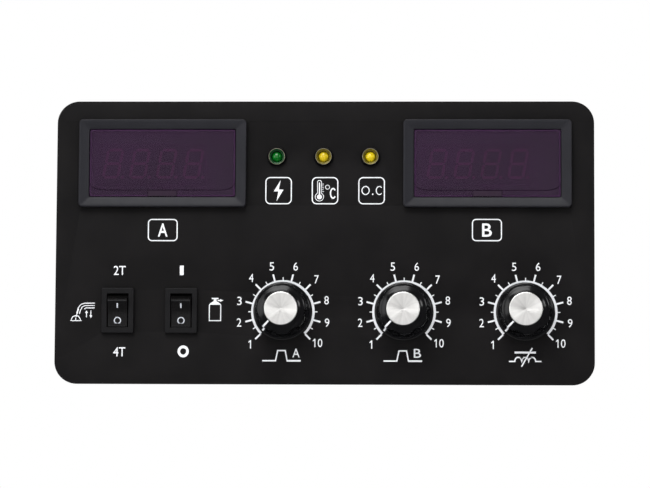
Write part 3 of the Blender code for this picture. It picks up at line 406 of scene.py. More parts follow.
def buildDust():
    # pale dust that has settled on faces that look up
    inputs = {"Position": (0.0, 0.0, 0.0), "Normal": (0.0, 0.0, 1.0), "Base": (0.5, 0.5, 0.5, 1),
              "Dust": (0.42, 0.4, 0.37, 1), "Amount": 0.2}
    group, given, result = newGroup("settledDust", inputs, {"Color": "Color", "Mask": "Float"})
    up = addNode(group, "ShaderNodeSeparateXYZ", {0: given["Normal"]}).outputs["Z"]
    mask = patchyMask(group, given, mapRange(group, up, 0.35, 1.0), 0.9, 5.0, 0.35, 0.7)
    group.links.new(mixColors(group, mask, given["Base"], given["Dust"]), result["Color"])
    group.links.new(mask, result["Mask"])
    return group


def buildWear():
    # rubbed edges and painted edge highlight: a lighter colour where the surface turns a corner
    inputs = {"Position": (0.0, 0.0, 0.0), "Base": (0.5, 0.5, 0.5, 1), "Rubbed And Highlit": (0.6, 0.6, 0.6, 1),
              "Amount": 0.3}
    group, given, result = newGroup("rubbedEdges", inputs, {"Color": "Color", "Mask": "Float"})
    corner = group.nodes.new("ShaderNodeNewGeometry").outputs["Pointiness"]
    mask = patchyMask(group, given, mapRange(group, corner, 0.52, 0.62), 1.4, 4.0, 0.35, 0.6)
    group.links.new(mixColors(group, mask, given["Base"], given["Rubbed And Highlit"]), result["Color"])
    group.links.new(mask, result["Mask"])
    return group


def buildRings():
    # tool marks of a lathe round the piece's own axis, and a painted reflection: lighter and darker sectors
    # round that axis
    inputs = {"Position": (0.0, 0.0, 0.0), "Spacing": 0.2}
    group, given, result = newGroup("turnedRingsAndSheen", inputs, {"Height": "Float", "Painted Sheen": "Float"})
    parts = addNode(group, "ShaderNodeSeparateXYZ", {0: given["Position"]}).outputs
    squares = [mathNode(group, "POWER", mathNode(group, "ABSOLUTE", parts[axis]), 2.0) for axis in "XZ"]
    radius = mathNode(group, "SQRT", mathNode(group, "ADD", *squares))
    turns = mathNode(group, "DIVIDE", mathNode(group, "MULTIPLY", radius, math.tau), given["Spacing"])
    ridge = mapRange(group, mathNode(group, "SINE", turns), -1.0, 1.0)
    line = addNode(group, "ShaderNodeCombineXYZ", {"X": radius}).outputs[0]
    group.links.new(mathNode(group, "MULTIPLY", ridge, noise(group, line, 3.0, 3.0)), result["Height"])
    # painted reflection: sectors of sheen from a cloud over the direction round the axis
    angle = mathNode(group, "ARCTAN2", parts["Z"], parts["X"])
    ends = {"X": mathNode(group, "COSINE", angle), "Y": mathNode(group, "SINE", angle)}
    around = addNode(group, "ShaderNodeCombineXYZ", ends).outputs[0]
    group.links.new(mapRange(group, noise(group, around, 3.0, 3.0), 0.3, 0.7), result["Painted Sheen"])
    return group


effects = {"mottle": buildMottle(), "grain": buildGrain(), "dust": buildDust(), "wearAndHighlight": buildWear(),
           "rings": buildRings()}
commonLook = {"darkShare": 0.78, "patch": 8.0, "roughness": 0.5, "spread": 0.1, "metallic": 0.0,
              "specular": 0.5, "grain": 0.4, "relief": 0.004, "dust": 0.15, "rubbed": None, "rub": 0.4,
              "coat": 0.0, "coatRoughness": 0.06, "alpha": 1.0, "glow": 0.0, "rings": 0.0,
              "anisotropy": 0.0}
shaderKeys = {"Metallic": "metallic", "Specular IOR Level": "specular", "Coat Weight": "coat",
              "Coat Roughness": "coatRoughness", "Alpha": "alpha"}


def finishOf(name, color, dark=None, **changes):
    # a finish from the shared effects, with this one's own values
    look = {**commonLook, **changes}
    light = (*color, 1)
    dark = (*(dark or [c * commonLook["darkShare"] for c in color]), 1)
    material = bpy.data.materials.new(name)
    material.use_nodes = True
    tree = material.node_tree
    shader = tree.nodes["Principled BSDF"]
    source = tree.nodes.new("ShaderNodeTexCoord")
    inputs = {0: source.outputs["Object"], "Scale": 1000.0}
    place = addNode(tree, "ShaderNodeVectorMath", inputs, operation="SCALE").outputs[0]

    def effect(kind, inputs):
        node = tree.nodes.new("ShaderNodeGroup")
        node.node_tree = effects[kind]
        for label, value in {"Position": place, **inputs}.items():
            if isinstance(value, bpy.types.NodeSocket):
                tree.links.new(value, node.inputs[label])
            else:
                node.inputs[label].default_value = value
        return node.outputs

    color = effect("mottle", {"Patch Size": look["patch"], "Light": light, "Dark": dark})["Color"]
    # lighter corners: rubbed wear and a painted edge highlight
    if look["rubbed"]:
        rubbed = (*look["rubbed"], 1)
        color = effect("wearAndHighlight", {"Base": color, "Rubbed And Highlit": rubbed, "Amount": look["rub"]})["Color"]
    if look["dust"]:
        inputs = {"Normal": source.outputs["Normal"], "Base": color, "Amount": look["dust"]}
        color = effect("dust", inputs)["Color"]
    inputs = {"Grain Size": look["grain"], "Roughness": look["roughness"], "Spread": look["spread"]}
    grain = effect("grain", inputs)
    height = grain["Height"]
    if look["rings"]:
        rings = effect("rings", {"Spacing": look["rings"]})
        height = rings["Height"]
        # painted reflection: the colour is shaded 0.84 to 1 in sectors round the axis
        shade = mapRange(tree, rings["Painted Sheen"], 0.0, 1.0, 0.84, 1.0)
        inputs = {0: 1.0, 6: color, 7: shade}
        color = addNode(tree, "ShaderNodeMix", inputs, data_type="RGBA", blend_type="MULTIPLY").outputs[2]
    inputs = {"Height": height, "Strength": 1.0, "Distance": look["relief"] / 1000}
    bump = addNode(tree, "ShaderNodeBump", inputs)
    tree.links.new(color, shader.inputs["Base Color"])
    tree.links.new(grain["Roughness"], shader.inputs["Roughness"])
    tree.links.new(bump.outputs["Normal"], shader.inputs["Normal"])
    for socket, key in shaderKeys.items():
        shader.inputs[socket].default_value = look[key]
    if look["anisotropy"]:
        shader.inputs["Anisotropic"].default_value = look["anisotropy"]
        tangent = tree.nodes.new("ShaderNodeTangent")
        tangent.direction_type = "RADIAL"
        tangent.axis = "Y"
        tree.links.new(tangent.outputs["Tangent"], shader.inputs["Tangent"])
    if look["glow"]:
        tree.links.new(color, shader.inputs["Emission Color"])
        shader.inputs["Emission Strength"].default_value = look["glow"]
    return material


paint = finishOf("satinBlackPaint", (0.0072, 0.0066, 0.0068), (0.0052, 0.0048, 0.0050), patch=16.0,
                 roughness=0.52, spread=0.08, grain=0.45, relief=0.006, dust=0.03, specular=0.06)
ink = finishOf("whiteLegendInk", (0.70, 0.71, 0.73), (0.64, 0.65, 0.67), patch=3.0, grain=0.2, relief=0.003,
               dust=0.0)
zinc = finishOf("brightZinc", (0.66, 0.66, 0.64), (0.50, 0.50, 0.47), patch=2.5, roughness=0.32,
                metallic=1.0, grain=0.15, relief=0.003, rubbed=(0.8, 0.8, 0.8))
foam = finishOf("closedCellFoam", (0.030, 0.030, 0.031), (0.018, 0.018, 0.019), patch=1.2, roughness=0.92,
                grain=0.35, relief=0.10, specular=0.2, dust=0.3)
meterPlastic = finishOf("meterPlastic", (0.0165, 0.0165, 0.0200), (0.0135, 0.0135, 0.0165), patch=14.0,
                        roughness=0.40, grain=0.28, specular=0.12, dust=0.08)
violet = finishOf("violetFilter", (0.033, 0.0160, 0.037), (0.027, 0.0150, 0.030), patch=24.0,
                  roughness=0.12, spread=0.02, grain=6.0, relief=0.0001, alpha=0.64, dust=0.0,
                  specular=0.06)
# painted glow: an opaque band of stronger violet just inside the window's edge
paintedEdgeGlow = finishOf("filterEdgeGlow", (0.034, 0.012, 0.041), (0.026, 0.011, 0.030), patch=18.0, dust=0.0,
                     roughness=0.2, grain=2.0, relief=0.0002, specular=0.08)
violetLine = finishOf("filterMouldLine", (0.004, 0.0015, 0.005), roughness=0.3, patch=3.0, dust=0.0,
                      specular=0.04)
violetPad = finishOf("filterLabelPad", (0.024, 0.0135, 0.025), (0.019, 0.0105, 0.020), roughness=0.35,
                     patch=2.0, grain=0.2, relief=0.001, dust=0.0, specular=0.10)
digitFace = finishOf("digitBlockFace", (0.028, 0.028, 0.030), (0.023, 0.023, 0.025), patch=9.0,
                     roughness=0.45, grain=0.25, relief=0.001, dust=0.0, specular=0.2)
# painted glow: the unlit segments carry a faint emission so they show through the filter
segmentWithPaintedGlow = finishOf("unlitSegment", (0.40, 0.030, 0.22), (0.34, 0.026, 0.19), patch=3.0, roughness=0.4,
                        dust=0.0, glow=0.04)
potting = finishOf("pottingResin", (0.55, 0.50, 0.38), (0.42, 0.37, 0.26), patch=2.0, roughness=0.25,
                   grain=1.5, relief=0.06)
boardGreen = finishOf("boardResist", (0.012, 0.105, 0.040), (0.009, 0.080, 0.030), patch=5.0,
                      roughness=0.32, grain=0.5, coat=0.3)
copper = finishOf("coveredTrack", (0.030, 0.170, 0.060), (0.022, 0.140, 0.048), patch=3.0, roughness=0.3,
                  coat=0.3, relief=0.002)
solder = finishOf("solder", (0.70, 0.70, 0.70), (0.50, 0.50, 0.52), patch=0.6, roughness=0.26, metallic=1.0,
                  grain=0.3, relief=0.01)
chipBlack = finishOf("chipResin", (0.022, 0.022, 0.024), (0.015, 0.015, 0.016), patch=2.0, roughness=0.6,
                     grain=0.12, relief=0.008, rubbed=(0.06, 0.06, 0.06))
resistorBody = finishOf("resistorLacquer", (0.50, 0.36, 0.20), (0.40, 0.28, 0.15), patch=1.0,
                        roughness=0.35, grain=0.3, relief=0.006, coat=0.2)
bandBrown = finishOf("resistorBandBrown", (0.12, 0.04, 0.02), roughness=0.35, patch=0.6)
bandGold = finishOf("resistorBandGold", (0.55, 0.38, 0.10), roughness=0.3, patch=0.6, metallic=0.6)
capSleeve = finishOf("capacitorSleeve", (0.020, 0.035, 0.120), (0.015, 0.026, 0.09), patch=3.0,
                     roughness=0.3, grain=0.5)
capFilm = finishOf("filmCapacitorResin", (0.42, 0.05, 0.02), (0.34, 0.04, 0.02), patch=1.5, roughness=0.25,
                   grain=0.8, relief=0.02, coat=0.3)
aluminium = finishOf("pressedAluminium", (0.74, 0.74, 0.73), (0.60, 0.60, 0.59), patch=1.5, roughness=0.35,
                     metallic=1.0, grain=0.1, relief=0.003)
ivory = finishOf("headerNylon", (0.74, 0.71, 0.62), (0.66, 0.63, 0.53), patch=5.0, roughness=0.4, grain=0.3,
                 dust=0.2)
tinPin = finishOf("tinnedPin", (0.78, 0.76, 0.70), (0.62, 0.60, 0.54), patch=0.8, roughness=0.25,
                  metallic=1.0, grain=0.1, relief=0.001)
clipPlastic = finishOf("clipPlastic", (0.024, 0.024, 0.025), (0.016, 0.016, 0.017), patch=4.0,
                       roughness=0.42, grain=0.25, relief=0.006, rubbed=(0.08, 0.08, 0.08))
blackChrome = finishOf("blackChrome", (0.012, 0.012, 0.013), (0.008, 0.008, 0.009), patch=2.0,
                       roughness=0.24, metallic=0.7, grain=0.2, relief=0.002, rings=0.12)
rimBright = finishOf("polishedLampRim", (0.52, 0.49, 0.38), (0.44, 0.41, 0.31), patch=3.0, roughness=0.34,
                     metallic=1.0, grain=0.12, relief=0.0004, dust=0.0)
nickel = finishOf("nickelPlate", (0.70, 0.67, 0.60), (0.56, 0.53, 0.47), patch=2.0, roughness=0.25,
                  metallic=1.0, grain=0.2, relief=0.002, rubbed=(0.85, 0.83, 0.78), rings=0.18)
switchPlastic = finishOf("switchPlastic", (0.0080, 0.0078, 0.0084), (0.0062, 0.0060, 0.0065), patch=6.0,
                         roughness=0.40, grain=0.22, dust=0.03, specular=0.08)
# painted shade: the rocker's end strips are coloured darker than its face
paintedEndShade = finishOf("rockerEndPaintedShade", (0.0022, 0.0020, 0.0020), (0.0016, 0.0015, 0.0015), patch=5.0,
                     roughness=0.22, grain=0.25, relief=0.001, dust=0.0, specular=0.06)
# painted highlight: a lighter line along the edges of the rocker face
paintedEdgeHighlight = finishOf("rockerEdgePaintedHighlight", (0.014, 0.014, 0.015), (0.011, 0.011, 0.012), patch=3.0,
                      roughness=0.3, grain=0.25, relief=0.001, dust=0.0, specular=0.2)
rockerPlastic = finishOf("rockerPlastic", (0.0062, 0.0058, 0.0060), (0.0048, 0.0045, 0.0047), patch=5.0,
                         roughness=0.30, grain=0.25, relief=0.002, dust=0.0, specular=0.10)
markInk = finishOf("rockerMarkInk", (0.50, 0.52, 0.56), (0.42, 0.44, 0.48), patch=1.0, roughness=0.4,
                   dust=0.0, relief=0.002)
brass = finishOf("contactBrass", (0.74, 0.52, 0.20), (0.56, 0.37, 0.13), patch=1.6, roughness=0.3,
                 metallic=1.0, grain=0.15, rubbed=(0.9, 0.72, 0.38))
silverContact = finishOf("silverContact", (0.82, 0.82, 0.80), (0.6, 0.6, 0.6), patch=0.5, roughness=0.28,
                         metallic=1.0, relief=0.002)
potSteel = finishOf("pressedSteel", (0.58, 0.57, 0.52), (0.45, 0.43, 0.38), patch=2.2, roughness=0.33,
                    metallic=1.0, grain=0.2, rubbed=(0.75, 0.74, 0.7))
phenolic = finishOf("phenolicBoard", (0.26, 0.12, 0.045), (0.18, 0.08, 0.03), patch=1.5, grain=0.25,
                    relief=0.01)
shaftAluminium = finishOf("shaftAluminium", (0.76, 0.76, 0.75), (0.62, 0.62, 0.61), patch=1.5,
                          roughness=0.3, metallic=1.0, rings=0.25, relief=0.003)
knobGloss = finishOf("knobPhenolic", (0.0042, 0.0042, 0.0046), (0.0030, 0.0030, 0.0034), patch=7.0,
                     roughness=0.18, spread=0.05, grain=0.9, relief=0.0012, specular=0.25, dust=0.01)
spun = finishOf("spunAluminium", (0.83, 0.82, 0.80), (0.79, 0.78, 0.76), patch=3.0, roughness=0.30,
                spread=0.04, metallic=1.0, rings=0.16, relief=0.0006, anisotropy=0.80, dust=0.0)
nylon = finishOf("spacerNylon", (0.80, 0.80, 0.74), (0.70, 0.70, 0.63), patch=3.0, roughness=0.45,
                 grain=0.3)
# painted reflection: each holder's cup is lined in its lens colour, the coloured lens as seen mirrored in
# the cup
cupReflectionLook = {"patch": 1.5, "roughness": 0.3, "metallic": 0.3, "grain": 0.2, "relief": 0.002, "dust": 0.0}
greenCupReflection = finishOf("greenCupReflection", (0.006, 0.075, 0.020), (0.004, 0.050, 0.014), **cupReflectionLook)
yellowCupReflection = finishOf("yellowCupReflection", (0.20, 0.165, 0.012), (0.14, 0.11, 0.008), **cupReflectionLook)
cupReflectionFinishes = {"power": greenCupReflection, "heat": yellowCupReflection, "current": yellowCupReflection}
# painted glow: the lenses carry a faint emission although the lamps are not lit
lensLook = {"patch": 3.0, "roughness": 0.14, "grain": 1.5, "relief": 0.001, "coat": 0.25, "glow": 0.04,
            "specular": 0.3, "dust": 0.0}
greenLook = {**lensLook, "glow": 0.05}
lensFinishes = {
    "power": finishOf("greenLens", (0.0, 0.10, 0.007), (0.0, 0.078, 0.005), **greenLook),
    "heat": finishOf("yellowLens", (0.50, 0.37, 0.008), (0.42, 0.31, 0.006), **lensLook),
    "current": finishOf("amberYellowLens", (0.56, 0.43, 0.008), (0.47, 0.35, 0.006), **lensLook),
}
print("finishes:", len(bpy.data.materials))

# Printed legends, each element a hair higher than the last, so that none share a plane.
inkBase = 5.30
inkParts = []


def printed(outline, inner=None):
    top = inkBase + 0.020 + 0.0008 * (len(inkParts) % 24)
    inkParts.append((slab(outline, inkBase - 0.02, top, inner), ink))


def printedText(text, height, width, centre, weight=0.0):
    inkParts.append((lettering(text, height, width, centre, inkBase - 0.02, inkBase + 0.02, weight), ink))


def printedLine(points, width, closed=False):
    printed(*stroke(points, width, closed))


def flatRing(width, height, radius, centre):
    return [point[:2] for point in roundedRing(width, height, radius, 0, centre)]


def printedBox(width, height, radius, centre, line):
    printed(flatRing(width, height, radius, centre),
            flatRing(width - 2 * line, height - 2 * line, radius - line, centre))


def roundLetter(width, height, centre, line, gap=42):
    # an O, or a C with that many degrees of gap on each side of its mouth
    turns = [math.radians(gap + (360 - 2 * gap) * i / 32) for i in range(33)]
    points = [(centre[0] + (width - line) / 2 * math.cos(a), centre[1] + (height - line) / 2 * math.sin(a))
              for a in turns]
    printedLine(points if gap else points[:-1], line, closed=not gap)


def digitText(text, height, centre):
    # figures in a narrow sans; the one has a flag
    x, y = centre
    half = height / 2
    pitch = height * 0.62
    for index, figure in enumerate(text):
        place = x + (index - (len(text) - 1) / 2) * pitch
        if figure == "1":
            stem = height * 0.115
            printed([(place + stem / 2, y - half), (place + stem / 2, y + half),
                     (place - stem * 0.3, y + half), (place - height * 0.25, y + half * 0.58),
                     (place - height * 0.25, y + half * 0.36), (place - stem / 2, y + half * 0.56),
                     (place - stem / 2, y - half)])
        else:
            printedText(figure, height, height * 0.54, (place, y), 0.0)


dialStyle = {"inner": 13.65, "outer": 14.75, "major": 18.0, "minor": 16.0, "majorWidth": 0.8,
             "minorWidth": 0.45, "figureHeight": 3.87, "start": 225, "sweep": 270}
figurePlaces = {1: (-14.9, -15.1), 2: (-20.3, -5.0), 3: (-20.2, 5.0), 4: (-14.8, 15.7), 5: (-5.3, 21.1),
                6: (5.8, 21.1), 7: (15.5, 15.1), 8: (20.2, 5.4), 9: (20.5, -5.0), 10: (16.1, -14.4)}


def printDial(centre):
    s = dialStyle
    x, y = centre
    outer = arc(x, y, s["outer"], s["start"], s["start"] - s["sweep"], 72)
    inner = arc(x, y, s["inner"], s["start"], s["start"] - s["sweep"], 72)
    printed(outer + inner[::-1])
    for mark in range(19):
        turn = math.radians(s["start"] - s["sweep"] * mark / 18)
        along = Vector((math.cos(turn), math.sin(turn)))
        whole = mark % 2 == 0
        reach = s["major"] if whole else s["minor"]
        ends = [Vector(centre) + along * r for r in (s["outer"] - 0.1, reach)]
        printedLine([tuple(end) for end in ends], s["majorWidth"] if whole else s["minorWidth"])
        if whole:
            value = mark // 2 + 1
            place = figurePlaces[value]
            digitText(str(value), s["figureHeight"], (x + place[0], y + place[1]))


knobPlaces = {label: middle(f"pot_{label}_shaft") for label in "abc"}
switchPlaces = {label: middle(f"{label}_switch_housing") for label in ("trigger", "gas")}
lampPlaces = {label: middle(f"{label}_led") for label in ("power", "heat", "current")}
meterPlaces = {label: middle(f"meter_{label}_case") for label in "ab"}
for place in knobPlaces.values():
    printDial((place.x + 0.2, place.y - 0.3))

# Waveform marks under the first two dials, and the inductor under the third.
for label in "ab":
    x = knobPlaces[label].x
    printedLine([(x - 9.2, -55.1), (x - 3.1, -55.1), (x - 2.1, -50.4), (x + 1.4, -50.4), (x + 2.3, -55.1)],
                0.6)
    printedLine([(x + 2.1, -55.1), (x + 8.6, -55.1)], 0.8)
    printedText(label.upper(), 4.1, 3.35, (x + 6.4, -51.5), 0.03)
x = knobPlaces["c"].x
printedLine([(x - 4.9, -51.0), (x + 4.9, -51.0)], 0.9)
coil = [(x - 7.45, -55.1)]
for hump in range(3):
    cx = x - 3.2 + 3.2 * hump
    coil += [(cx + u, -55.1 + v * 1.2) for u, v in arc(0, 0, 1.6, 180, 0, 10)]
coil.append((x + 7.45, -55.1))
printedLine([p for i, p in enumerate(coil) if i == 0 or (Vector(p) - Vector(coil[i - 1])).length > 0.01],
            0.6)
printedLine([(x - 1.7, -57.5), (x + 3.25, -48.9)], 0.6)

# Boxed letters beside the meters and boxed signs under the lamps.
boxedLetters = {"A": (-75.25, 5.6), "B": (75.3, 5.8)}
for letter, centre in boxedLetters.items():
    printedBox(13.9, 10.4, 1.95, centre, 0.5)
    printedText(letter, 6.2, 4.5, centre, 0.10)
signPlaces = {"power": (-21.45, 24.1), "heat": (0.15, 24.1), "current": (21.8, 24.1)}
for centre in signPlaces.values():
    printedBox(12.35, 12.75, 2.3, centre, 0.5)
x, y = signPlaces["power"]
printed([(x + 0.95, y + 4.9), (x - 2.25, y - 0.35), (x - 0.1, y - 0.35), (x - 0.9, y - 4.9),
         (x + 2.3, y + 0.45), (x + 0.1, y + 0.55)])
x, y = signPlaces["heat"]
bulb = arc(x - 2.6, y - 2.9, 1.95, 115, 425, 22)
printedLine([(x - 3.55, y + 4.1), (x - 3.1, y + 4.75), (x - 2.1, y + 4.75), (x - 1.65, y + 4.1)]
            + bulb[::-1], 0.28, closed=True)
printed(circle(1.15, (x - 2.6, y - 2.9), 24))
printed([(x - 2.33, y - 1.9), (x - 2.33, y + 3.8), (x - 2.87, y + 3.8), (x - 2.87, y - 1.9)])
for step in range(5):
    level = y + 3.1 - 0.88 * step
    printedLine([(x - 1.3, level), (x - (0.75 if step % 2 else 0.5), level)], 0.24)
printed(circle(1.1, (x + 1.15, y + 1.65), 24), circle(0.82, (x + 1.15, y + 1.65), 24))
roundLetter(3.0, 5.1, (x + 3.75, y - 1.25), 0.62, 38)
x, y = signPlaces["current"]
roundLetter(3.8, 4.2, (x - 2.8, y + 0.1), 0.42, 0)
printed(circle(0.36, (x + 0.5, y - 1.65), 16))
roundLetter(3.3, 4.2, (x + 3.6, y + 0.1), 0.42)

# Switch legends: two-step and four-step trigger, on and off, torch and gas bottle.
printedText("2T", 4.3, 5.6, (-95.1, -13.3), 0.03)
printedText("4T", 4.3, 5.6, (-94.85, -51.15), 0.03)
printed([(-65.3, -15.4), (-65.3, -11.0), (-67.1, -11.0), (-67.1, -15.4)])
printed([(-65.15 + u, -50.9 + v * 1.06) for u, v in circle(2.6, steps=40)],
        [(-65.15 + u, -50.9 + v * 1.06) for u, v in circle(1.4, steps=40)])
torchLines = {
    "gripTop": [(-106.5, -28.6), (-111.2, -28.6), (-113.0, -29.2), (-114.3, -31.0), (-114.9, -33.4)],
    "gripMiddle": [(-106.5, -29.7), (-111.0, -29.7), (-112.4, -30.4), (-113.2, -32.0), (-113.7, -33.6)],
    "gripBottom": [(-106.5, -30.8), (-110.6, -30.8), (-111.4, -31.4)],
    "neck": [(-113.9, -31.2), (-115.2, -35.0)],
    "base": [(-117.8, -36.7), (-112.6, -36.7)],
    "cup": [(-117.4, -36.3), (-116.7, -34.9), (-115.4, -34.3), (-114.0, -34.7), (-113.0, -36.3)],
    "spark": [(-115.3, -36.4), (-115.3, -35.3)],
    "upStem": [(-110.3, -35.2), (-110.3, -32.6)],
    "downStem": [(-108.3, -32.0), (-108.3, -34.4)],
}
for line in torchLines.values():
    printedLine(line, 0.38)
printed([(-110.95, -33.2), (-109.65, -33.2), (-110.3, -31.9)])
printed([(-108.95, -34.2), (-107.65, -34.2), (-108.3, -35.5)])
bottle = [(-53.2, -36.6), (-47.9, -36.6), (-47.9, -29.4), (-48.5, -28.6), (-52.6, -28.6), (-53.2, -29.4)]
printedLine(bottle, 0.42, closed=True)
printed([(-53.1, -29.2), (-48.0, -29.2), (-48.9, -28.1), (-49.9, -27.6), (-49.9, -26.7), (-51.2, -26.7),
         (-51.2, -27.6), (-52.2, -28.1)])
printed([(-49.0, -26.6), (-49.0, -26.0), (-52.1, -26.0), (-52.1, -26.6)])
printedLine([(-49.4, -27.2), (-47.9, -27.2)], 0.5)
printed([(-48.3, -26.55), (-48.3, -27.85), (-46.7, -27.2)])

# Front plate: pressed sheet with rounded rims and welded studs.
plateSizes = {"corner": 10.3, "front": 5.3, "rear": 3.3, "rim": 0.25, "stud": 2.0,
              "pitch": 0.7, "studX": 118.80, "studY": 59.80}
s = plateSizes
plateLow, plateHigh = span("front_plate")
panelWidth, panelHeight = plateHigh.x - plateLow.x, plateHigh.y - plateLow.y
openings = []
for place in meterPlaces.values():
    openings.append(flatRing(76.1, 39.1, 0.4, (place.x, place.y)))
for place in switchPlaces.values():
    openings.append(flatRing(13.5, 19.48, 0.4, (place.x, place.y)))
for place in lampPlaces.values():
    openings.append(circle(4.1, (place.x, place.y)))
for place in knobPlaces.values():
    openings.append(circle(3.8, (place.x, place.y)))
outline = [p[:2] for p in roundedRing(panelWidth, panelHeight, s["corner"], 0, steps=14)]
parts = [(sheetOf([outline, *openings], s["rear"], s["front"], s["rim"], 2), paint)]
studPlaces = [(sx * s["studX"], sy * s["studY"]) for sx in (-1, 1) for sy in (-1, 1)]
for place in studPlaces:
    parts.append((threaded(place, s["stud"], s["pitch"], plateLow.z, s["rear"] - 0.4, 0.35), zinc))
    parts.append((lathe([(0.02, s["rear"] - 0.6), (s["stud"] - 0.1, s["rear"] - 0.6),
                         (s["stud"] + 0.2, s["rear"] - 0.1), (s["stud"] + 0.28, s["rear"] + 0.1),
                         (0.02, s["rear"] + 0.1)], place), zinc))
piece("frontPlate", parts + inkParts, ["front_plate"])
gasket = [flatRing(248, 130, 9.3, (0, 0)), flatRing(232, 114, 0.5, (0, 0))]
gasket += [circle(s["stud"] + 0.35, place, 20) for place in studPlaces]
piece("foamGasket", [(sheetOf(gasket, 0.0, 3.0, 0.3, 2), foam)], ["rear_gasket"])
print("plate, gasket and legends:", len(inkParts), "printed marks")

# Digital meters.
meterSizes = {"windowWidth": 67.9, "windowHeight": 31.5, "digitHeight": 14.0, "digitWidth": 8.0,
              "pitch": 12.5, "firstDigit": 5.5, "lean": math.tan(math.radians(10)), "segment": 1.25,
              "stepRise": 6.3, "stepFlat": 3.1}


def segmentBars(cx, cy):
    # seven tapered bars of one slanted figure, and its point
    s = meterSizes
    t = s["segment"] / 2
    w, h = s["digitWidth"] / 2 - t, s["digitHeight"] / 2 - t
    gap = 0.22

    def bar(ax, ay, bx, by):
        along = Vector((bx - ax, by - ay)).normalized()
        side = Vector((-along.y, along.x)) * t
        a, b = Vector((ax, ay)) + along * gap, Vector((bx, by)) - along * gap
        return [a, a + along * t + side, b - along * t + side, b, b - along * t - side,
                a + along * t - side]

    shapes = [bar(-w, h, w, h), bar(-w, 0, w, 0), bar(-w, -h, w, -h), bar(-w, 0, -w, h), bar(w, 0, w, h),
              bar(-w, -h, -w, 0), bar(w, -h, w, 0)]
    shapes.append([Vector(p) for p in circle(0.75, (w + 2.1, -h), 16)])
    return [[(cx + p.x + p.y * s["lean"], cy + p.y) for p in shape] for shape in shapes]


def boardFittings(low, high, z, seed, tracks=26):
    # tracks and solder joints on the rear face of a board
    dice = random.Random(seed)
    parts = []
    for index in range(tracks):
        x, y = dice.uniform(low.x + 4, high.x - 16), dice.uniform(low.y + 2.5, high.y - 2.5)
        run, rise = dice.uniform(5, 13), dice.choice((-1, 1)) * dice.uniform(0.8, 3)
        y2 = min(high.y - 1.5, max(low.y + 1.5, y + rise))
        line = [(x, y), (x + run * 0.45, y), (x + run * 0.45 + abs(y2 - y), y2),
                (x + run * 0.45 + abs(y2 - y) + 2.5, y2)]
        if line[-1][0] < high.x - 1.5:
            outline = stroke(line, 0.55)[0]
            parts.append((slab(outline, z - 0.03 - 0.0004 * index, z + 0.05), copper))
            for end in (line[0], line[-1]):
                bead = [(0.02, z + 0.05), (0.85, z + 0.05), (0.85, z - 0.05), (0.5, z - 0.32),
                        (0.22, z - 0.75), (0.02, z - 0.8)]
                parts.append((lathe(bead, end, steps=14), solder))
    return parts


def chip(cx, cy, z, width, height, pins):
    parts = [(shell([(width, height, 0.2, z - 0.5), (width + 0.3, height + 0.3, 0.25, z - 1.6),
                     (width, height, 0.2, z - 3.2)], (cx, cy)), chipBlack),
             (lathe([(0.02, z - 3.0), (0.7, z - 3.0), (0.7, z - 3.24), (0.02, z - 3.24)],
                    (cx - width / 2 + 1.4, cy), steps=18), ivory)]
    for i in range(pins):
        x = cx + (i - (pins - 1) / 2) * 2.54
        for side in (-1, 1):
            foot = cy + side * (height / 2 + 0.75)
            parts.append((block((x - 0.6, min(cy + side * (height / 2 - 0.2), foot), z - 1.9),
                                (x + 0.6, max(cy + side * (height / 2 - 0.2), foot), z - 1.6), 0.06, 1),
                          tinPin))
            parts.append((post(x, foot, 0.25, 0.14, z - 1.9, z + 0.05, 0.05), tinPin))
    return parts


def resistor(cx, cy, z, upright=False):
    # the lacquered body is a lathe shape laid on its side
    body = [(0.02, -3.0), (0.75, -3.0), (1.05, -2.7), (1.12, -2.1), (0.92, -1.5), (0.92, 1.5), (1.12, 2.1),
            (1.05, 2.7), (0.75, 3.0), (0.02, 3.0)]
    lie = Matrix.Rotation(math.radians(90), 4, "X" if upright else "Y")
    place = Matrix.Translation((cx, cy, z - 1.5)) @ lie
    parts = [(moved(lathe(body, steps=20), place), resistorBody)]
    for offset, finish in ((-0.9, bandBrown), (-0.2, chipBlack), (0.5, bandBrown), (1.2, bandGold)):
        ring = [(0.9, offset), (0.95, offset), (0.95, offset + 0.32), (0.9, offset + 0.32)]
        parts.append((moved(lathe(ring, closed=True, steps=20), place), finish))
    for side in (-1, 1):
        ends = [(0, 0, side * 2.9), (0, 0, side * 4.2), (0, 0, side * 4.9)]
        points = [place @ Vector(end) for end in ends]
        points[2] = points[2].lerp(Vector((points[2].x, points[2].y, z)), 0.4)
        points.append(Vector((points[2].x, points[2].y, z + 0.05)))
        parts.append((wire(points, 0.28), tinPin))
    return parts


def canCapacitor(cx, cy, z, radius, height):
    sleeve = [(0.02, z - 0.3), (radius - 0.35, z - 0.3), (radius, z - 0.8), (radius - 0.22, z - 1.4),
              (radius, z - 1.9), (radius, z - height + 0.4), (radius - 0.4, z - height),
              (radius - 0.8, z - height), (0.02, z - height + 0.05)]
    lid = [(0.02, z - height + 0.1), (radius - 0.85, z - height + 0.1), (radius - 0.85, z - height - 0.03),
           (0.02, z - height - 0.05)]
    cross = [block((cx - radius * 0.6, cy - 0.12, z - height - 0.1),
                   (cx + radius * 0.6, cy + 0.12, z - height), 0.03, 1),
             block((cx - 0.12, cy - radius * 0.6, z - height - 0.09),
                   (cx + 0.12, cy + radius * 0.6, z - height), 0.03, 1)]
    return [(lathe(sleeve, (cx, cy), steps=32), capSleeve), (lathe(lid, (cx, cy), steps=32), aluminium),
            *[(part, capSleeve) for part in cross]]


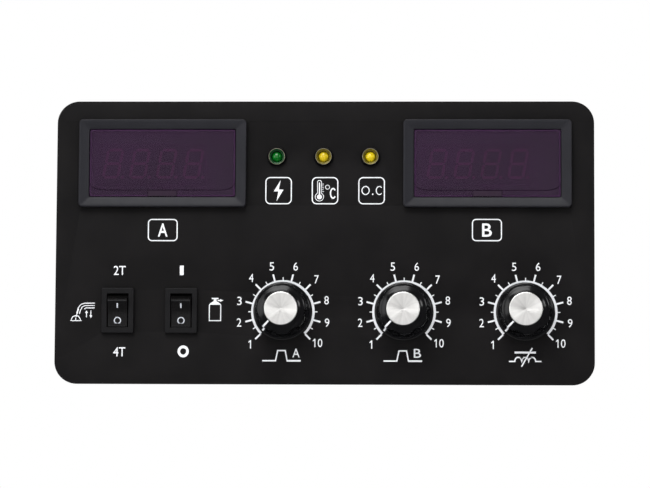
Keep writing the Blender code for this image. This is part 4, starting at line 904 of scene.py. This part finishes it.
def filmCapacitor(cx, cy, z):
    return [(shell([(4.6, 2.0, 0.9, z - 0.9), (6.6, 2.8, 1.3, z - 1.8), (7.0, 3.0, 1.4, z - 4.2),
                    (6.4, 2.5, 1.2, z - 6.0), (4.0, 1.4, 0.6, z - 6.5)], (cx, cy)), capFilm),
            (wire([(cx - 2.5, cy, z - 1.2), (cx - 2.5, cy, z + 0.05)], 0.3, False), tinPin),
            (wire([(cx + 2.5, cy, z - 1.2), (cx + 2.5, cy, z + 0.05)], 0.3, False), tinPin)]


def trimmer(cx, cy, z):
    base = post(cx, cy, 3.3, 3.3, z - 4.6, z - 0.2, 0.3, 2)
    dial = lathe([(0.02, z - 4.5), (2.4, z - 4.5), (2.4, z - 5.0), (2.1, z - 5.2), (0.02, z - 5.2)],
                 (cx, cy), steps=28)
    slot = post(cx, cy, 1.7, 0.28, z - 5.24, z - 5.1, 0.04)
    return [(base, capSleeve), (dial, ivory), (slot, chipBlack)]


def header(name, node, pins, pitch):
    # shrouded header, its mouth to the rear, with a key slot and square pins
    low, high = span(node)
    cx, cy = (low.x + high.x) / 2, (low.y + high.y) / 2
    w, h = high.x - low.x, high.y - low.y
    parts = [(shell([(w, h, 0.35, high.z - 0.1), (w, h, 0.35, low.z + 0.2), (w - 0.3, h - 0.3, 0.25, low.z),
                     (w - 1.4, h - 1.4, 0.2, low.z), (w - 1.8, h - 1.8, 0.2, low.z + 0.3),
                     (w - 1.8, h - 1.8, 0.2, high.z - 1.8), (0.6, 0.3, 0.1, high.z - 1.8)], (cx, cy),
                    steps=3), ivory)]
    for side in (-1, 1):
        key = cx + side * pitch * (pins / 2 - 1)
        parts.append((block((key - 0.5, high.y - 1.0, low.z + 0.4), (key + 0.5, high.y - 0.7, high.z - 1.7),
                            0.08, 1), ivory))
    for i in range(pins):
        x = cx + (i - (pins - 1) / 2) * pitch
        parts.append((post(x, cy, 0.32, 0.32, low.z + 1.6, high.z - 1.6, 0.1), tinPin))
    piece(name, parts, [node])


for label, place in meterPlaces.items():
    centre = (place.x, place.y)
    case = [(75.5, 38.5, 0.5, -18.5), (75.5, 38.5, 0.5, 5.58), (77.5, 40.5, 1.65, 5.6),
            (78.0, 41.0, 1.9, 5.85), (78.0, 41.0, 1.9, 8.15), (77.8, 40.8, 1.8, 8.42),
            (77.3, 40.3, 1.55, 8.6), (76.1, 39.1, 1.2, 8.6), (75.7, 38.7, 1.1, 8.52),
            (68.9, 32.5, 1.1, 8.03), (68.5, 32.1, 1.0, 7.9), (68.5, 32.1, 1.0, 5.7), (65.4, 29.0, 0.5, 5.7),
            (65.1, 28.7, 0.4, 5.5), (65.1, 28.7, 0.4, 4.2), (72.5, 35.5, 0.5, 4.2),
            (72.5, 35.5, 0.5, -18.5), (73.0, 36.0, 0.4, -18.7), (75.1, 38.1, 0.4, -18.7)]
    parts = [(shell(case, centre, closed=True, steps=8), meterPlastic)]
    for sy in (-1, 1):
        for rib in range(5):
            x = centre[0] + (rib - 2) * 14.0
            y = sorted((centre[1] + sy * 17.6, centre[1] + sy * 17.9))
            parts.append((block((x - 0.5, y[0] - 0.15, -18.0), (x + 0.5, y[1], 3.8), 0.1, 1), meterPlastic))
    piece(f"meter{label.upper()}Case", parts, [f"meter_{label}_case"], (*centre, 0))

    s = meterSizes
    w, h = s["windowWidth"], s["windowHeight"]
    lens = [(w, h, 0.8, 6.0), (w, h, 0.8, 7.5), (w - 0.4, h - 0.4, 0.7, 7.7)]
    drop = s["stepRise"] - s["stepFlat"]
    left, foot = centre[0] - w / 2 + 0.25, centre[1] - h / 2
    bend = [math.radians(a) for a in range(0, 91, 9)]
    side = [(left + 7.0 * (1 - math.cos(a)), foot + s["stepRise"] - drop * math.sin(a)) for a in bend]
    right = [(2 * centre[0] - px, py) for px, py in reversed(side)]
    stepLine = stroke(side + right, 0.28)[0]
    pad = flatRing(13.2, 2.5, 0.15, (centre[0], foot + 1.6))
    padRim = flatRing(13.6, 2.9, 0.2, (centre[0], foot + 1.6))
    # the band inside the window's edge is a painted glow
    strip = slab(flatRing(w - 0.5, h - 0.5, 0.7, centre), 7.64, 7.705,
                 flatRing(w - 1.3, h - 1.3, 0.3, centre))
    parts = [(shell(lens, centre, steps=5), violet), (strip, paintedEdgeGlow),
             (slab(stepLine, 7.66, 7.715), violetLine), (slab(pad, 7.66, 7.74), violetPad),
             (slab(padRim, 7.66, 7.72, pad), violetLine)]
    piece(f"meter{label.upper()}Window", parts, [f"meter_{label}_window"], (*centre, 0))

    low, high = span(f"meter_{label}_display")
    cx, cy = (low.x + high.x) / 2, (low.y + high.y) / 2
    wide, tall = high.x - low.x, high.y - low.y
    front = [(wide, tall, 0.3, low.z + 1.0), (wide, tall, 0.3, high.z - 0.15),
             (wide - 0.3, tall - 0.3, 0.25, high.z - 0.06)]
    rear = [(wide - 1.2, tall - 1.2, 0.3, low.z + 0.3), (wide - 1.2, tall - 1.2, 0.3, low.z + 1.05)]
    parts = [(shell(front, (cx, cy)), digitFace), (shell(rear, (cx, cy)), potting)]
    for index in range(4):
        digitX = centre[0] - w / 2 + s["firstDigit"] + s["digitWidth"] / 2 + index * s["pitch"] + 1.2
        for shape in segmentBars(digitX, cy):
            parts.append((slab(shape, high.z - 0.2, high.z), segmentWithPaintedGlow))
    for index in range(12):
        x = low.x + 3.0 + index * (high.x - low.x - 6.0) / 11
        for side in (-1, 1):
            y = cy + side * 7.62
            parts.append((post(x, y, 0.25, 0.25, low.z, low.z + 0.6, 0.08), tinPin))
    piece(f"meter{label.upper()}Display", parts, [f"meter_{label}_display"], (*centre, 0))

    low, high = span(f"meter_{label}_board")
    z = low.z
    parts = [(block(low, high, 0.08, 1), boardGreen)]
    parts += boardFittings(low, Vector((high.x, high.y, high.z)), z, 11 + ord(label), 18)
    parts += chip(centre[0] - 14, centre[1] + 7.0, z, 25, 6.6, 10)
    parts += chip(centre[0] - 20, centre[1] - 8.5, z, 10, 6.6, 4)
    for i in range(3):
        parts += resistor(centre[0] + 2.5, centre[1] - 2.0 - 4.2 * i, z)
    parts += canCapacitor(centre[0] + 31, centre[1] + 12, z, 3.2, 8.5)
    parts += canCapacitor(centre[0] + 31, centre[1] - 12, z, 3.2, 8.5)
    parts += filmCapacitor(centre[0] + 16, centre[1] - 11.5, z)
    parts += trimmer(centre[0] - 31, centre[1] - 11.5, z)
    parts += trimmer(centre[0] - 31, centre[1] - 3.5, z)
    piece(f"meter{label.upper()}Board", parts, [f"meter_{label}_board"], (*centre, 0))
    header(f"meter{label.upper()}Header", f"meter_{label}_header", 6, 2.54)

    for sign, hand in ((-1, "left"), (1, "right")):
        # sprung strip with a turned foot, three teeth and a thumb tab
        profile = [(38.05, 2.7), (38.35, 3.0), (39.95, 3.0), (40.25, 2.7), (40.25, 2.1), (39.95, 1.8),
                   (39.55, 1.8), (39.25, 1.5), (39.25, -12.6), (38.9, -13.0), (38.35, -13.0),
                   (38.05, -12.6)]
        rings = []
        for y in (-7.0, -6.75, 6.75, 7.0):
            pinch = 0.2 if abs(y) == 7.0 else 0.0
            ring = []
            for u, v in profile:
                reach = u + (0.12 if u < 38.9 else -0.12) * (pinch > 0)
                ring.append((centre[0] + sign * reach, centre[1] + y,
                             v - math.copysign(pinch * 0.6, v + 5)))
            rings.append(ring)
        parts = [(loft(rings), clipPlastic)]
        for tooth in range(4):
            x = sorted((centre[0] + sign * 39.2, centre[0] + sign * 39.6))
            parts.append((block((x[0], centre[1] - 5.5, -11.6 + 1.3 * tooth),
                                (x[1], centre[1] + 5.5, -11.0 + 1.3 * tooth), 0.12, 1), clipPlastic))
        node = f"meter_{label}_clip_{hand}"
        piece(f"meter{label.upper()}Clip{hand.capitalize()}", parts, [node])
print("meters done")

# Lamps.
lampSizes = {"barrel": 3.8, "threadDepth": 0.22, "pitch": 0.5, "low": -4.5, "high": 4.625, "lens": 2.5,
             "flange": 2.75, "legGap": 1.27, "longLeg": -15.4, "shortLeg": -14.4}


def lampThread(share, z):
    s = lampSizes
    crest = s["barrel"] - s["threadDepth"] * zigzag(z / s["pitch"] - share)
    return min(crest, 3.56 + min(z - s["low"], s["high"] - z))


for label, place in lampPlaces.items():
    s = lampSizes
    centre = (place.x, place.y)
    cup = [(2.8 + 0.8 * u, 5.9 + 1.6 * (1 + v)) for u, v in arc(0, 0, 1.0, -90, 0, 8)]
    holder = [(3.8, 7.42), (3.72, 7.5), (cup[-1][0] + 0.02, 7.5), *cup[::-1], (2.8, -0.1), (3.2, -0.1),
              (3.2, -4.5), (3.55, -4.5), (3.55, 5.6), (4.35, 5.6), (4.6, 5.75), (4.6, 5.95), (4.5, 6.05),
              (4.05, 7.0), (3.95, 7.15)]
    parts = [(lathe(holder, centre, closed=True, steps=64), blackChrome),
             (lathe([(3.56, 7.42), (3.58, 7.5), (3.62, 7.53), (3.70, 7.53), (3.75, 7.48), (3.73, 7.38)],
                    centre, True, 64), rimBright)]
    # the cup's lining in the lens colour is a painted reflection of the lens
    reflectionLining = [(u - 0.03, v + 0.03) for u, v in cup[:-1]] + [(u + 0.01, v - 0.01) for u, v in cup[-2::-1]]
    parts.append((lathe(reflectionLining, centre, True, 48), cupReflectionFinishes[label]))
    rings = turned(centre, [-4.5 + 0.0625 * i for i in range(147)], 40, lampThread)
    rings += [[(*p, z) for p in circle(3.5, centre, 40)] for z in (4.6, -4.48)]
    parts.append((loft(rings, closed=True), blackChrome))
    piece(f"{label}LampHolder", parts, [f"{label}_lamp_holder"], (*centre, 0))
    dome = [(s["lens"], -0.35), *arc(0, 4.7, s["lens"], 0, 88, 12)]
    lens = [(0.02, -1.4), (s["flange"], -1.4), (2.9, -1.25), (2.9, -0.55), (s["flange"], -0.4), *dome,
            (0.02, 7.2)]
    parts = [(lathe(lens, centre, steps=48), lensFinishes[label])]
    for side in (-1, 1):
        x = centre[0] + s["legGap"] * side
        foot = s["longLeg"] if side > 0 else s["shortLeg"]
        parts.append((post(x, centre[1], 0.25, 0.25, foot, -1.2, 0.05), tinPin))
        parts.append((post(x, centre[1], 0.42, 0.28, -3.4, -2.9, 0.08), tinPin))
    piece(f"{label}Led", parts, [f"{label}_led"], (*centre, 0))
    piece(f"{label}LampNut", [(hexNut(centre, 11.0, 4.1, 0.8, 3.0), nickel)], [f"{label}_lamp_nut"],
          (*centre, 0))
print("lamps done")

# Rocker switches.
rockerSizes = {"pivot": 1.4512, "lever": -3.1488, "edge": 9.43, "edgeAngle": 48.8, "skirt": 8.81,
               "skirtAngle": 26.3, "tilt": 12.0, "leverTilt": 9.0}
for label, place in switchPlaces.items():
    centre = (place.x, place.y)
    s = rockerSizes
    housing = [(12.9, 18.88, 0.25, -8.0), (12.9, 18.88, 0.25, 5.58), (14.7, 20.7, 0.45, 5.6),
               (15.0, 21.0, 0.5, 5.8), (15.0, 21.0, 0.55, 7.0), (14.8, 20.8, 0.55, 7.25),
               (14.4, 20.4, 0.5, 7.4), (10.3, 16.1, 0.3, 7.4), (9.9, 15.7, 0.2, 7.2), (9.9, 15.7, 0.2, 6.8),
               (9.9, 17.68, 0.2, 6.8), (9.9, 17.68, 0.2, -6.7), (9.9, 17.68, 0.2, -6.75)]
    # walls and floor are one closed skin, so the floor's slots sit round the tabs as separate collars
    body = shell(housing[:-1] + [(5.4, 12.6, 0.1, -6.7), (5.4, 12.6, 0.1, -8.2), (12.5, 18.5, 0.2, -8.2)],
                 centre, True, 4)
    parts = [(body, switchPlastic)]
    bars = [(-6.31, -5.91), (-5.09, -0.41), (0.41, 6.31)]
    for low, high in bars:
        parts.append((block((centre[0] - 2.71, centre[1] + low, -8.15),
                            (centre[0] + 2.71, centre[1] + high, -6.75), 0.05, 1), switchPlastic))
    for low, high in ((-5.91, -5.09), (-0.41, 0.41)):
        for side in (-1, 1):
            x = sorted((centre[0] + side * 2.71, centre[0] + side * 2.45))
            parts.append((block((x[0], centre[1] + low - 0.02, -8.1), (x[1], centre[1] + high + 0.02, -6.8),
                                0.0, 1), switchPlastic))
    for side in (-1, 1):
        # snap wings that spring out behind the plate
        wing = [(6.4, 2.9), (6.72, 2.7), (6.72, 2.2), (6.4, -2.0)]
        rings = [[(centre[0] + side * u, centre[1] + y, z) for u, z in wing] for y in (-4.0, 4.0)]
        parts.append((loft(rings), switchPlastic))
    piece(f"{label}SwitchHousing", parts, [f"{label}_switch_housing"], (*centre, 0))

    # rocker: two dished faces that meet in a shallow valley, a skirt, a hub and a nib
    turn = math.radians(s["tilt"])
    edgeY = s["edge"] * math.cos(math.radians(s["edgeAngle"]))
    edgeZ = s["edge"] * math.sin(math.radians(s["edgeAngle"]))
    skirtY = s["skirt"] * math.cos(math.radians(s["skirtAngle"]))
    skirtZ = s["skirt"] * math.sin(math.radians(s["skirtAngle"]))
    face = []
    for i in range(-12, 13):
        share = i / 12
        y = share * (edgeY - 0.12)
        level = edgeZ - (edgeY - abs(y)) * math.tan(turn)
        dish = 0.16 * math.sin(math.pi * min(1, abs(share)))
        face.append((y, level - dish + 0.10 * math.exp(-(y / 0.5) ** 2)))
    half = [(edgeY, edgeZ - 0.12), (skirtY, skirtZ), (skirtY - 0.8, skirtZ - 0.4), (3.4, 1.8), (1.7, -1.0),
            (0.9, -3.1), (0.4, -3.4)]
    outline = face + half + [(-u, v) for u, v in reversed(half)]
    hub = Matrix.Translation((centre[0], centre[1], s["pivot"])) @ Matrix.Rotation(turn, 4, "X")
    rings = []
    for x, inset in ((-4.55, 0.14), (-4.42, 0.0), (4.42, 0.0), (4.55, 0.14)):
        sunk = [(y * (1 - inset * 0.02), z - (inset if z > 2 else -inset * 0.2)) for y, z in outline]
        rings.append([(x, *point) for point in sunk])
    across = Matrix.Rotation(math.radians(90), 4, "Y")
    pin = [(0.02, -5.65), (1.05, -5.65), (1.2, -5.5), (1.2, 5.5), (1.05, 5.65), (0.02, 5.65)]
    parts = [(moved(loft(rings), hub), rockerPlastic)]
    parts.append((moved(lathe(pin, steps=24), hub @ across), rockerPlastic))

    def onFace(y):
        # place on the rocker's face, tilted to lie along it
        level = edgeZ - (edgeY - abs(y)) * math.tan(turn) - 0.16 * math.sin(math.pi * abs(y) / edgeY)
        return hub @ Matrix.Translation((0, y, level)) @ Matrix.Rotation(math.copysign(turn, y), 4, "X")

    bar = slab([(0.32, -1.35), (0.32, 1.35), (-0.32, 1.35), (-0.32, -1.35)], -0.1, 0.05)
    parts.append((moved(bar, onFace(3.8)), markInk))
    ring = slab(circle(1.68, steps=40), -0.1, 0.05, circle(1.22, steps=40))
    parts.append((moved(ring, onFace(-3.4)), markInk))
    for end in (-1, 1):
        # glossy ends painted darker as the shade of the raised end wall, each met by a fine edge line
        # painted lighter as a highlight along the face
        a, b = Vector((end * edgeY, edgeZ - 0.3)), Vector((end * skirtY, skirtZ + 0.2))
        out = Vector((b.y - a.y, a.x - b.x)).normalized() * -end * 0.03
        strip = [[(x, *(p + out * t)) for p, t in ((a, -1), (a, 1), (b, 1), (b, -1))]
                 for x in (-4.45, 4.45)]
        parts.append((moved(loft(strip), hub), paintedEndShade))
        # the lighter line along the face's edge is a painted highlight
        line = block((-4.4, min(end * (edgeY - 0.42), end * (edgeY - 0.16)), edgeZ - 0.3),
                     (4.4, max(end * (edgeY - 0.42), end * (edgeY - 0.16)), edgeZ), 0.0)
        parts.append((moved(line, hub), paintedEdgeHighlight))
    piece(f"{label}SwitchRocker", parts, [f"{label}_switch_rocker"],
          (centre[0], centre[1], s["pivot"]))

    hinge = Matrix.Translation((centre[0], centre[1], s["lever"]))
    lean = hinge @ Matrix.Rotation(-math.radians(s["leverTilt"]), 4, "X")
    blade = block((-1.5, -6.0, -0.25), (1.5, 6.0, 0.25), 0.08)
    dent = block((-0.5, -4.6, 0.2), (0.5, 4.4, 0.3), 0.05, 1)
    button = lathe([(0.02, -0.65), (0.6, -0.65), (0.9, -0.5), (0.9, -0.2), (0.02, -0.2)], (0, -5.0),
                   steps=20)
    parts = [(moved(blade, lean), brass), (moved(dent, lean), brass), (moved(button, lean), silverContact)]
    piece(f"{label}SwitchLever", parts, [f"{label}_switch_lever"],
          (centre[0], centre[1], s["lever"]))

    for kind in ("common", "contact"):
        node = f"{label}_switch_{kind}_terminal"
        low, high = span(node)
        cx = centre[0]
        hole = circle(0.8, (cx, -13.0), 20)
        tab = [(cx + 1.3, -16.2), (cx + 2.4, -14.9), (cx + 2.4, high.z), (cx - 2.4, high.z),
               (cx - 2.4, -14.9), (cx - 1.3, -16.2)]
        flat = sheetOf([tab, hole], -0.4, 0.4, 0.1, 1)
        stand = Matrix(((1, 0, 0, 0), (0, 0, -1, (low.y + high.y) / 2), (0, 1, 0, 0), (0, 0, 0, 1)))
        piece(f"{label}Switch{kind.capitalize()}Tab", [(moved(flat, stand), brass)], [node],
              (cx, (low.y + high.y) / 2, -10))
print("switches done")

# Potentiometers and knobs.
knobSizes = {"grip": 11.7, "fluteRadius": 6.0, "fluteDepth": 1.0, "flutes": 7, "crownRadius": 9.2,
             "skirtTop": 8.0, "fadeLow": 8.6, "fadeOver": 1.6, "runOut": 3.0, "blend": 0.35, "steps": 168,
             "pointer": 225.0, "pointerWidth": 0.85}


def bushThread(share, z):
    return min(3.5 - 0.2 * zigzag(z / 0.75 - share), 3.25 + (9.5 - z) * 0.8)


def fluted(angle, radius, z):
    # radius of the knob's side at that angle, with the flutes cut in and softened
    s = knobSizes
    if radius <= s["crownRadius"] or z <= s["skirtTop"]:
        return radius
    pitch = math.tau / s["flutes"]
    away = (angle - math.radians(s["pointer"])) % pitch - pitch / 2
    distance = s["grip"] - s["fluteDepth"] + s["fluteRadius"]
    inside = s["fluteRadius"] ** 2 - (distance * math.sin(away)) ** 2
    if inside <= 0:
        return radius
    cut = distance * math.cos(away) - math.sqrt(inside)
    fade = min(1, max(0, (z - s["fadeLow"]) / s["fadeOver"]))
    cut += (1 - fade * fade * (3 - 2 * fade)) * s["runOut"]
    mix = min(1, max(0, 0.5 + 0.5 * (radius - cut) / s["blend"]))
    return radius * (1 - mix) + cut * mix - s["blend"] * mix * (1 - mix)


for label, place in knobPlaces.items():
    centre = (place.x, place.y)
    s = knobSizes
    can = [(7.6, 3.0), (8.1, 2.9), (8.25, 2.6), (8.25, -5.6), (8.1, -5.95), (7.8, -6.0), (7.3, -6.0),
           (7.2, -5.85), (2.6, -5.85), (2.4, -6.0), (0.02, -6.0), (0.02, -5.2), (7.45, -5.2), (7.45, 1.4),
           (3.1, 1.4), (3.1, 9.5), (3.3, 9.5), (3.3, 3.0)]
    parts = [(lathe(can, centre, closed=True, steps=56), potSteel)]
    rings = turned(centre, [3.0 + 6.5 * i / 80 for i in range(81)], 36, bushThread)
    rings += [[(*p, z) for p in circle(3.2, centre, 36)] for z in (9.48, 3.02)]
    parts.append((loft(rings, closed=True), nickel))
    for side in (-1, 1):
        # crimped tabs that hold the can to the bush plate
        for up in (-1, 1):
            x, y = centre[0] + side * 5.2, centre[1] + up * 5.0
            parts.append((post(x, y, 0.9, 0.9, 2.7, 2.98, 0.1), potSteel))
    piece(f"pot{label.upper()}Can", parts, [f"pot_{label}_body"], (*centre, 0))

    low, high = span(f"pot_{label}_tongue")
    tongue = [(centre[0] + 6.5, high.y), (centre[0] - 6.5, high.y), (centre[0] - 6.5, low.y + 1.2),
              (centre[0] - 5.3, low.y), (centre[0] + 5.3, low.y), (centre[0] + 6.5, low.y + 1.2)]
    parts = [(sheetOf([tongue], -0.4, 0.8, 0.08, 1), phenolic)]
    for i in (-1, 0, 1):
        x, y = centre[0] + 5.0 * i, centre[1] - 13.5
        parts.append((post(x, y, 0.6, 0.3, low.z, 1.05, 0.1), tinPin))
        parts.append((lathe([(0.02, 0.78), (1.0, 0.78), (1.0, 0.98), (0.5, 1.1), (0.02, 1.1)], (x, y + 1.6),
                            steps=18), tinPin))
        parts.append((block((x - 0.6, y - 0.3, 0.78), (x + 0.6, y + 1.6, 0.98), 0.08, 1), tinPin))
    piece(f"pot{label.upper()}Tongue", parts, [f"pot_{label}_tongue"])

    washer = [(3.85, 5.62), (3.85, 6.08), (3.9, 6.1), (5.6, 6.1), (5.75, 6.0), (5.75, 5.7), (5.6, 5.6),
              (3.9, 5.6)]
    piece(f"pot{label.upper()}Washer", [(lathe(washer, centre, closed=True, steps=48), nickel)],
          [f"pot_{label}_washer"], (*centre, 0))
    piece(f"pot{label.upper()}Nut", [(hexNut(centre, 10.0, 3.8, 6.4, 8.4), nickel)], [f"pot_{label}_nut"],
          (*centre, 0))

    low, high = span(f"pot_{label}_shaft")
    shaft = [(0.02, high.z), (2.6, high.z), (3.0, high.z - 0.4), (3.0, 12.6), (2.9, 12.5), (2.9, 12.3),
             (3.0, 12.2), (3.0, -0.4), (1.5, -0.45)]
    wiper = [(1.5, -1.9), (1.5, low.z + 0.1), (1.4, low.z), (0.02, low.z)]
    disc = [(1.55, -0.75), (6.0, -0.75), (6.2, -0.9), (6.2, -1.7), (6.0, -1.9), (1.55, -1.9)]
    parts = [(lathe(shaft + wiper, centre, steps=40), shaftAluminium),
             (lathe(disc, centre, True, 48), phenolic)]
    for turn in (70, 110):
        a = math.radians(turn)
        x, y = centre[0] + 4.6 * math.cos(a), centre[1] + 4.6 * math.sin(a)
        parts.append((post(x, y, 0.3, 1.2, -0.8, -0.72, 0.02), brass))
    piece(f"pot{label.upper()}Shaft", parts, [f"pot_{label}_shaft"], (*centre, 0))

    # fluted knob, its hollow underside and bore in the same skin
    inner = [(0.02, 18.1), (3.1, 18.1), (3.1, 10.1), (7.55, 10.1), (7.55, 6.05), (7.75, 5.9)]
    bend = [math.radians(a) for a in range(0, 91, 9)]
    flare = [(13.45 - 1.75 * math.sin(a), 7.1 + 2.8 * (1 - math.cos(a))) for a in bend]
    crown = [(9.5 + u, 17.9 + v) for u, v in arc(0, 0, 2.2, 0, 78, 12)]
    side = [(11.7, 9.9 + 8.0 * i / 10) for i in range(1, 10)]
    outer = [(13.2, 5.9), (13.42, 6.05), (13.45, 6.3), *flare, *side, *crown, (9.0, 20.35), (8.35, 20.9),
             (8.12, 21.06), (7.95, 21.1), (7.8, 21.0), (7.8, 20.25), (0.02, 20.25)]
    turns = [math.tau * i / s["steps"] for i in range(s["steps"])]
    rings = [[polar(centre, fluted(a, r, z), a, z) for a in turns] for r, z in inner + outer]
    a = math.radians(s["pointer"])
    along, across = Vector((math.cos(a), math.sin(a))), Vector((-math.sin(a), math.cos(a)))
    # the white line is inlaid down the lobe: crown, shoulder, side and flare
    path = [(8.0, 21.08), (8.12, 21.06), (8.35, 20.9), (9.0, 20.35), *reversed(crown), *reversed(side),
            *reversed(flare)]
    path = [point for point in path if point[0] < 13.0]
    edge = Vector((*across, 0)) * (s["pointerWidth"] / 2)
    inlay = []
    for r, z in path:
        top, under = [Vector((*centre, z)) + Vector((*(along * (r + lift)), lift * 0.6))
                      for lift in (0.03, -0.25)]
        inlay.append([top + edge, top - edge, under - edge, under + edge])
    parts = [(loft(rings), knobGloss), (loft(inlay), ink)]
    piece(f"knob{label.upper()}", parts, [f"knob_{label}"], (*centre, 0), crease=40)
    cap = [(0.02, 20.3), (7.6, 20.3), (7.7, 20.4), (7.7, 21.05), (7.62, 21.22), (7.45, 21.3), (0.35, 21.3),
           (0.2, 21.24), (0.02, 21.22)]
    piece(f"knob{label.upper()}Cap", [(lathe(cap, centre, steps=96), spun)], [f"knob_{label}_cap"],
          (*centre, 0))
print("knobs done")

# Control board, its header and its spacers.
low, high = span("control_board")
cx, cy = (low.x + high.x) / 2, (low.y + high.y) / 2
boardHoles = [circle(1.5, (place.x + 5.0 * i, place.y - 13.5), 16) for place in knobPlaces.values()
              for i in (-1, 0, 1)]
boardHoles += [circle(1.5, (middle(f"board_spacer_{hand}").x, -17.6), 20) for hand in ("left", "right")]
outline = flatRing(high.x - low.x, high.y - low.y, 2.0, (cx, cy))
parts = [(sheetOf([outline, *boardHoles], low.z, high.z, 0.06, 1), boardGreen)]
for place in knobPlaces.values():
    for i in (-1, 0, 1):
        ring = [(0.95, low.z + 0.1), (2.1, low.z + 0.1), (2.1, low.z - 0.04), (1.6, low.z - 0.3),
                (0.95, low.z - 0.9)]
        parts.append((lathe(ring, (place.x + 5.0 * i, place.y - 13.5), True, 24), solder))
parts += boardFittings(Vector((low.x, low.y + 10.5, 0)), Vector((64, high.y - 1.0, 0)), low.z, 5, 30)
parts += boardFittings(Vector((56, low.y + 11, 0)), Vector((high.x, high.y - 11.5, 0)), low.z, 8, 16)
parts += chip(4.0, -33.5, low.z, 19.0, 6.6, 7)
parts += chip(28.0, -23.0, low.z, 10.0, 6.6, 4)
for x, y in ((-12, -20), (-12, -25), (-12, -30), (20, -37), (33, -33), (33, -37.5), (70, -31), (70, -36),
             (84, -28)):
    parts += resistor(x, y, low.z)
for x, y in ((-25.5, -34.0), (49.0, -34.0), (98.0, -36.0)):
    parts += canCapacitor(x, y, low.z, 4.0, 9.8)
for x, y in ((12.0, -20.0), (45.0, -22.0), (84.0, -35.0)):
    parts += filmCapacitor(x, y, low.z)
parts += trimmer(57.5, -28.5, low.z)
piece("controlBoard", parts, ["control_board"], (cx, cy, 0))
header("controlBoardHeader", "control_board_header", 10, 2.54)
for hand in ("left", "right"):
    node = f"board_spacer_{hand}"
    place = middle(node)
    centre = (place.x, place.y)
    head = [(10.7, 10.7, 0.6, 3.0), (11.0, 11.0, 0.7, 2.85), (11.0, 11.0, 0.7, 1.95),
            (10.7, 10.7, 0.6, 1.8)]
    stem = [(0.02, 2.0), (3.6, 1.95), (3.2, 1.7), (3.0, 1.3), (3.0, -6.1), (2.8, -6.3), (1.25, -6.3),
            (1.2, -6.4), (1.2, -8.4), (1.45, -8.7), (1.4, -9.1), (0.9, -9.9), (0.7, -10.0), (0.02, -10.0)]
    parts = [(shell(head, centre), nylon), (lathe(stem, centre, steps=32), nylon)]
    for side in (-1, 1):
        x = sorted((centre[0] + side * 0.3, centre[0] + side * 3.9))
        parts.append((block((x[0], centre[1] - 0.35, -2.5), (x[1], centre[1] + 0.35, 1.9), 0.1, 1), nylon))
    piece(f"boardSpacer{hand.capitalize()}", parts, [node], (*centre, 0))
print("board done")

# Camera, light and floor.
cameraSizes = {"place": (0.05857, -1.49262, -0.15613), "target": (0.00028, -0.0053, -0.00081),
               "roll": 0.0056, "lens": 178.7}
camera = bpy.data.objects.new("camera", bpy.data.cameras.new("camera"))
scene.collection.objects.link(camera)
forward = (Vector(cameraSizes["target"]) - Vector(cameraSizes["place"])).normalized()
right = forward.cross(Vector((0, 0, 1))).normalized()
up = right.cross(forward)
roll = cameraSizes["roll"]
right, up = right * math.cos(roll) + up * math.sin(roll), up * math.cos(roll) - right * math.sin(roll)
facing = Matrix((right, up, -forward)).transposed().to_4x4()
camera.matrix_world = Matrix.Translation(cameraSizes["place"]) @ facing
camera.data.lens = cameraSizes["lens"]
camera.data.sensor_width = 36
camera.data.clip_start = 0.01
scene.camera = camera
scene.view_settings.view_transform = "Standard"

lights = {
    "overhead": {"place": (-0.25, -1.0, 1.35), "size": 1.2, "watts": 30},
    "leftSide": {"place": (-1.6, -1.1, 0.3), "size": 1.4, "watts": 15},
    "rightSide": {"place": (1.6, -0.8, 0.6), "size": 0.5, "watts": 6},
    "front": {"place": (-0.1, -2.6, 0.1), "size": 2.4, "watts": 17},
    "behind": {"place": (0.3, 1.3, 1.1), "size": 1.2, "watts": 24},
}
for name, light in lights.items():
    lamp = bpy.data.lights.new(name, "AREA")
    lamp.shape = "SQUARE"
    lamp.size = light["size"]
    lamp.energy = light["watts"]
    holder = bpy.data.objects.new(name, lamp)
    scene.collection.objects.link(holder)
    holder.location = light["place"]
    holder.rotation_euler = (-Vector(light["place"])).to_track_quat("-Z", "Y").to_euler()
    holder.visible_camera = False

worldLight = {"seen": (1.0, 1.0, 1.0, 1), "mirrored": (0.10, 0.10, 0.105, 1),
              "ambient": (0.36, 0.36, 0.37, 1)}
world = bpy.data.worlds.new("studio")
world.use_nodes = True
scene.world = world
tree = world.node_tree
tree.nodes.clear()
path = tree.nodes.new("ShaderNodeLightPath").outputs
shade = mixColors(tree, path["Is Glossy Ray"], worldLight["ambient"], worldLight["mirrored"])
shade = mixColors(tree, path["Is Camera Ray"], shade, worldLight["seen"])
sky = addNode(tree, "ShaderNodeBackground", {"Color": shade})
addNode(tree, "ShaderNodeOutputWorld", {"Surface": sky.outputs[0]})

floorFinish = finishOf("paleFloor", (0.86, 0.86, 0.86), (0.83, 0.83, 0.83), patch=160.0, roughness=0.8,
                       grain=6.0, relief=0.05, dust=0.0)
# lifts the far floor to the same pale tone, for the camera's eye alone
tree = floorFinish.node_tree
shader = tree.nodes["Principled BSDF"]
shader.inputs["Emission Color"].default_value = (0.9, 0.9, 0.9, 1)
seen = tree.nodes.new("ShaderNodeLightPath").outputs["Is Camera Ray"]
tree.links.new(mathNode(tree, "MULTIPLY", seen, 0.55), shader.inputs["Emission Strength"])
floorMesh = loft([[(-4, -4, -0.27), (4, -4, -0.27), (4, 4, -0.27), (-4, 4, -0.27)],
                  [(-4, -4, -0.25), (4, -4, -0.25), (4, 4, -0.25), (-4, 4, -0.25)]])
floorMesh.materials.append(floorFinish)
floor = bpy.data.objects.new("floor", floorMesh)
scene.collection.objects.link(floor)
floor.visible_glossy = False
floor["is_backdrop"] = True
print("stage done")

low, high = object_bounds()
